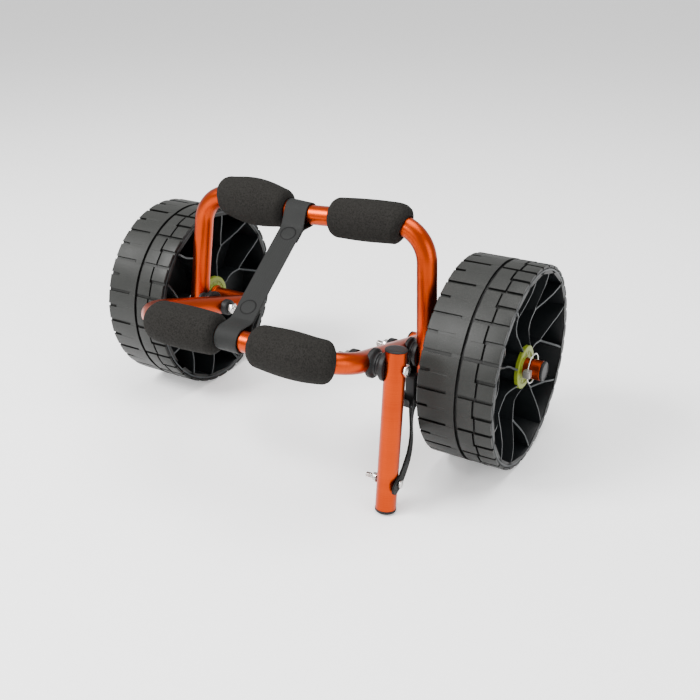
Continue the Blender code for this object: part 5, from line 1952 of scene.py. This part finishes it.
@dataclass
class Kickstand:
    """The kickstand's tube, its two caps and the fasteners at its foot."""

    x: float = 0.19037
    above_hinge: float = 0.0236
    reach: float = 0.18009
    cap_radius: float = 0.0129
    top_cap: float = 0.0025
    foot_cap: float = 0.004
    bolt_along: float = 0.1404

    def build(self) -> None:
        """Builds the stand's pieces."""
        hinge = at_x(HINGE, self.x)
        top = hinge - STAND_WAY * self.above_hinge
        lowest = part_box("kickstand_foot_cap")[0][2]
        reach = (hinge.z - lowest - self.cap_radius * 0.75 * abs(STAND_WAY.y)) / abs(STAND_WAY.z)
        foot = hinge + STAND_WAY * reach
        tube_top = top + STAND_WAY * (self.top_cap + 0.0003)
        tube_foot = foot - STAND_WAY * (self.foot_cap + 0.0003)
        work = Work()
        count = 24
        work.sweep([tube_top.lerp(tube_foot, step / count) for step in range(count + 1)], TUBE, 64)
        settle(work.finish("stand_tube", ORANGE), "kickstand", "kickstand_tube")
        for name, node, seat, way, thick in (
            ("stand_top_cap", "kickstand_top_cap", tube_top, -STAND_WAY, self.top_cap),
            ("stand_foot_cap", "kickstand_foot_cap", tube_foot, STAND_WAY, self.foot_cap),
        ):
            r = self.cap_radius
            cap = Work()
            profile = [
                (0.0, thick), (r * 0.62, thick), (r * 0.75, thick - 0.00005), (r * 0.93, thick - 0.0004),
                (r - 0.0001, thick * 0.62), (r, thick * 0.4), (r, 0.0003), (r - 0.0003, 0.0), (0.0106, 0.0),
                (0.0106, -0.012), (0.0, -0.012),
            ]
            cap.turned(profile, 64, facing(seat + way * 0.0003, way))
            settle(cap.finish(name, BLACK), "kickstand", node)
        self.build_foot_bolt()

    def build_foot_bolt(self) -> None:
        """Builds the bolt, the washer and the nut that hold the strap."""
        centre = at_x(HINGE + STAND_WAY * self.bolt_along, 0.0)
        place = along_x(centre)
        flats = 0.009
        head = self.x + TUBE + 0.0028 + 0.0009
        start = self.x - TUBE - 0.0003
        washer_end = start - 0.0015
        end = washer_end - 0.0003 - 0.00525
        work = Work()
        work.turned(
            [
                (0.0033, washer_end + 0.0003), (0.0036, washer_end), (0.0059, washer_end),
                (0.0063, washer_end + 0.0004), (0.0063, start - 0.0004), (0.0059, start), (0.0033, start),
            ],
            40, place,
        )
        settle(work.finish("foot_washer", STEEL), "kickstand", "limiter_washer")
        work = Work()
        work.hexagon(flats, end + 0.0011, washer_end - 0.0003, place, 0.0005)
        work.turned([(0.0, end + 0.0013), (0.0038, end + 0.0013), (0.0034, end), (0.0, end)], 32, place)
        settle(work.finish("foot_nut", STEEL), "kickstand", "limiter_nut")
        work = Work()
        work.hexagon(flats, head, head + 0.0024, place, 0.0005)
        work.turned(
            [(0.0, head + 0.0031), (0.0018, head + 0.003), (0.0034, head + 0.0022), (0.0, head + 0.0022)],
            32, place,
        )
        work.turned(thread(0.003, end - 0.0085, end + 0.001, 0.001), 24, place)
        settle(work.finish("foot_bolt", STEEL), "kickstand", "limiter_bolt")


# ---- Studio


@dataclass
class Studio:
    """A pale floor, soft lights and the camera at the photo's angle."""

    camera: tuple[float, float, float] = (0.6161, -0.9357, 0.6330)
    azimuth: float = math.radians(30.40)
    elevation: float = math.radians(24.91)
    lens: float = 47.63

    def build(self) -> None:
        """Sets up all three."""
        self.add_floor()
        self.add_light("key", (-1.3, -1.5, 2.1), (0.0, 0.0, 0.1), 1.1, 130.0)
        self.add_light("overhead", (0.3, 0.2, 2.4), (0.0, 0.0, 0.1), 1.6, 62.0)
        self.add_light("right", (2.3, -0.6, 1.0), (0.1, 0.0, 0.15), 1.4, 26.0)
        self.add_light("front", (-0.45, -1.7, 1.1), (0.05, -0.5, 0.0), 0.35, 14.0)
        self.add_camera()
        world = bpy.data.worlds.new("studio")
        world.use_nodes = True
        background = world.node_tree.nodes["Background"]
        background.inputs["Color"].default_value = (1.0, 1.0, 1.0, 1.0)
        background.inputs["Strength"].default_value = 0.85
        bpy.context.scene.world = world

    def add_floor(self) -> None:
        """Lays a wide pale floor."""
        shape = bmesh.new()
        bmesh.ops.create_grid(shape, x_segments=8, y_segments=8, size=9.0)
        mesh = bpy.data.meshes.new("studio_floor")
        shape.to_mesh(mesh)
        shape.free()
        material = bpy.data.materials.new("pale_floor")
        material.use_nodes = True
        graph = Graph(material.node_tree)
        shader = material.node_tree.nodes["Principled BSDF"]
        place = graph.add("TexCoord").outputs["Object"]
        fine = graph.add("TexNoise", {"Vector": place, "Scale": 60.0, "Detail": 3.0}).outputs["Fac"]
        graph.tree.links.new(
            graph.mix(fine, (0.90, 0.90, 0.90), (0.93, 0.93, 0.93)), shader.inputs["Base Color"]
        )
        graph.tree.links.new(graph.ranged(fine, 0.3, 0.7, 0.7, 0.8), shader.inputs["Roughness"])
        shader.inputs["Emission Color"].default_value = (1.0, 1.0, 1.0, 1.0)
        shader.inputs["Emission Strength"].default_value = 0.3
        mesh.materials.append(material)
        floor = bpy.data.objects.new("studio_floor", mesh)
        bpy.context.scene.collection.objects.link(floor)

    def add_light(
        self,
        name: str,
        spot: tuple[float, float, float],
        aim: tuple[float, float, float],
        size: float,
        power: float,
    ) -> None:
        """Adds one soft square light.

        Args:
            name: The light's name.
            spot: Where it hangs.
            aim: What it points at.
            size: The length of its side.
            power: Its power in watts.
        """
        light = bpy.data.lights.new(name, "AREA")
        light.shape = "SQUARE"
        light.size = size
        light.energy = power
        obj = bpy.data.objects.new(name, light)
        way = (Vector(aim) - Vector(spot)).normalized()
        obj.location = spot
        obj.rotation_euler = way.to_track_quat("-Z", "Y").to_euler()
        bpy.context.scene.collection.objects.link(obj)

    def add_camera(self) -> None:
        """Adds the camera, level from side to side."""
        data = bpy.data.cameras.new("camera")
        data.lens = self.lens
        data.sensor_width = 36.0
        data.sensor_fit = "HORIZONTAL"
        data.clip_end = 50.0
        level = math.cos(self.elevation)
        back = Vector((math.sin(self.azimuth) * level, -math.cos(self.azimuth) * level, math.sin(self.elevation)))
        right = Vector((math.cos(self.azimuth), math.sin(self.azimuth), 0.0))
        up = back.cross(right)
        camera = bpy.data.objects.new("camera", data)
        turned = Matrix((right, up, back)).transposed().to_4x4()
        camera.matrix_world = Matrix.Translation(self.camera) @ turned
        bpy.context.scene.collection.objects.link(camera)
        bpy.context.scene.camera = camera


def build_frame_pieces() -> None:
    """Builds both tube frames, their pads, their plugs and the stub axles."""
    front = TubeFrame(
        "front_u_tube",
        "front_frame_tube",
        "front_frame",
        AXLE,
        FRONT_WAY,
        FRONT_LOW_HALF,
        FRONT_TOP_HALF,
        -0.006,
        FRONT_REACH,
        0.0092,
        left_bend=0.072,
    )
    rear = TubeFrame(
        "rear_u_tube", "rear_frame_tube", "rear_frame", PIVOT, REAR_WAY, REAR_LOW_HALF, REAR_TOP_HALF,
        0.0212, REAR_REACH, 0.0103,
    )
    pads = {
        "rear_left": (0.0318, 0.1005, 0.0052),
        "rear_right": (0.0360, 0.1010, 0.0010),
        "front_left": (0.0112, 0.0956, 0.0012),
        "front_right": (0.0400, 0.1020, 0.0020),
    }
    for frame_tube, word in ((front, "front"), (rear, "rear")):
        frame_tube.build()
        for seed, side in enumerate(Side):
            name = f"{word}_{side.word}"
            line = frame_tube.half_bar(side)
            body = word + "_frame"
            FoamPad("pad_" + name, "foam_pad_" + name, body, line, *pads[name], seed=seed * 3.7).build()
    for side in Side:
        low, high = rear.leg(side)
        way = (low - high).normalized()
        plug = Work()
        profile = [
            (0.0, 0.0025), (0.0094, 0.0025), (0.0118, 0.0021), (TUBE, 0.0013), (TUBE, 0.0002), (0.0122, 0.0),
            (0.0106, 0.0), (0.0106, -0.012), (0.0, -0.012),
        ]
        plug.turned(profile, 56, facing(low + way * 0.0003, way))
        settle(plug.finish("leg_end_plug_" + side.word, BLACK), "rear_frame", "rear_leg_plug_" + side.word)
        StubAxle(side).build()


def build_joints() -> None:
    """Builds the two pivots and the kickstand's hinge."""
    front_splay = (FRONT_TOP_HALF - FRONT_LOW_HALF) / FRONT_REACH
    rear_splay = (REAR_TOP_HALF - REAR_LOW_HALF) / REAR_REACH
    for side in Side:
        Joint(
            "pivot", "_" + side.word, PIVOT, float(side.value), FRONT_LOW_HALF + front_splay * PIVOT_UP, 0.0082,
            "rear_frame", REAR_WAY, front_splay, rear_splay, lug=side is Side.RIGHT,
        ).build()
    Joint(
        "kickstand", "", HINGE, 1.0, FRONT_LOW_HALF + front_splay * HINGE_UP, 0.0128,
        "kickstand", STAND_WAY, front_splay,
    ).build()


def main() -> None:
    """Builds the studio and every piece."""
    logging.basicConfig(level=logging.INFO, format="%(message)s")
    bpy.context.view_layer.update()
    make_effects()
    Studio().build()
    build_frame_pieces()
    build_joints()
    Kickstand().build()
    Wheel(Side.LEFT, turn=math.radians(8.4)).build()
    Wheel(Side.RIGHT).build()
    for side in Side:
        LynchPin(side).build()
    CentreStrap().build()
    StandStrap().build()
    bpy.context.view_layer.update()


if __name__ == "__main__":
    main()
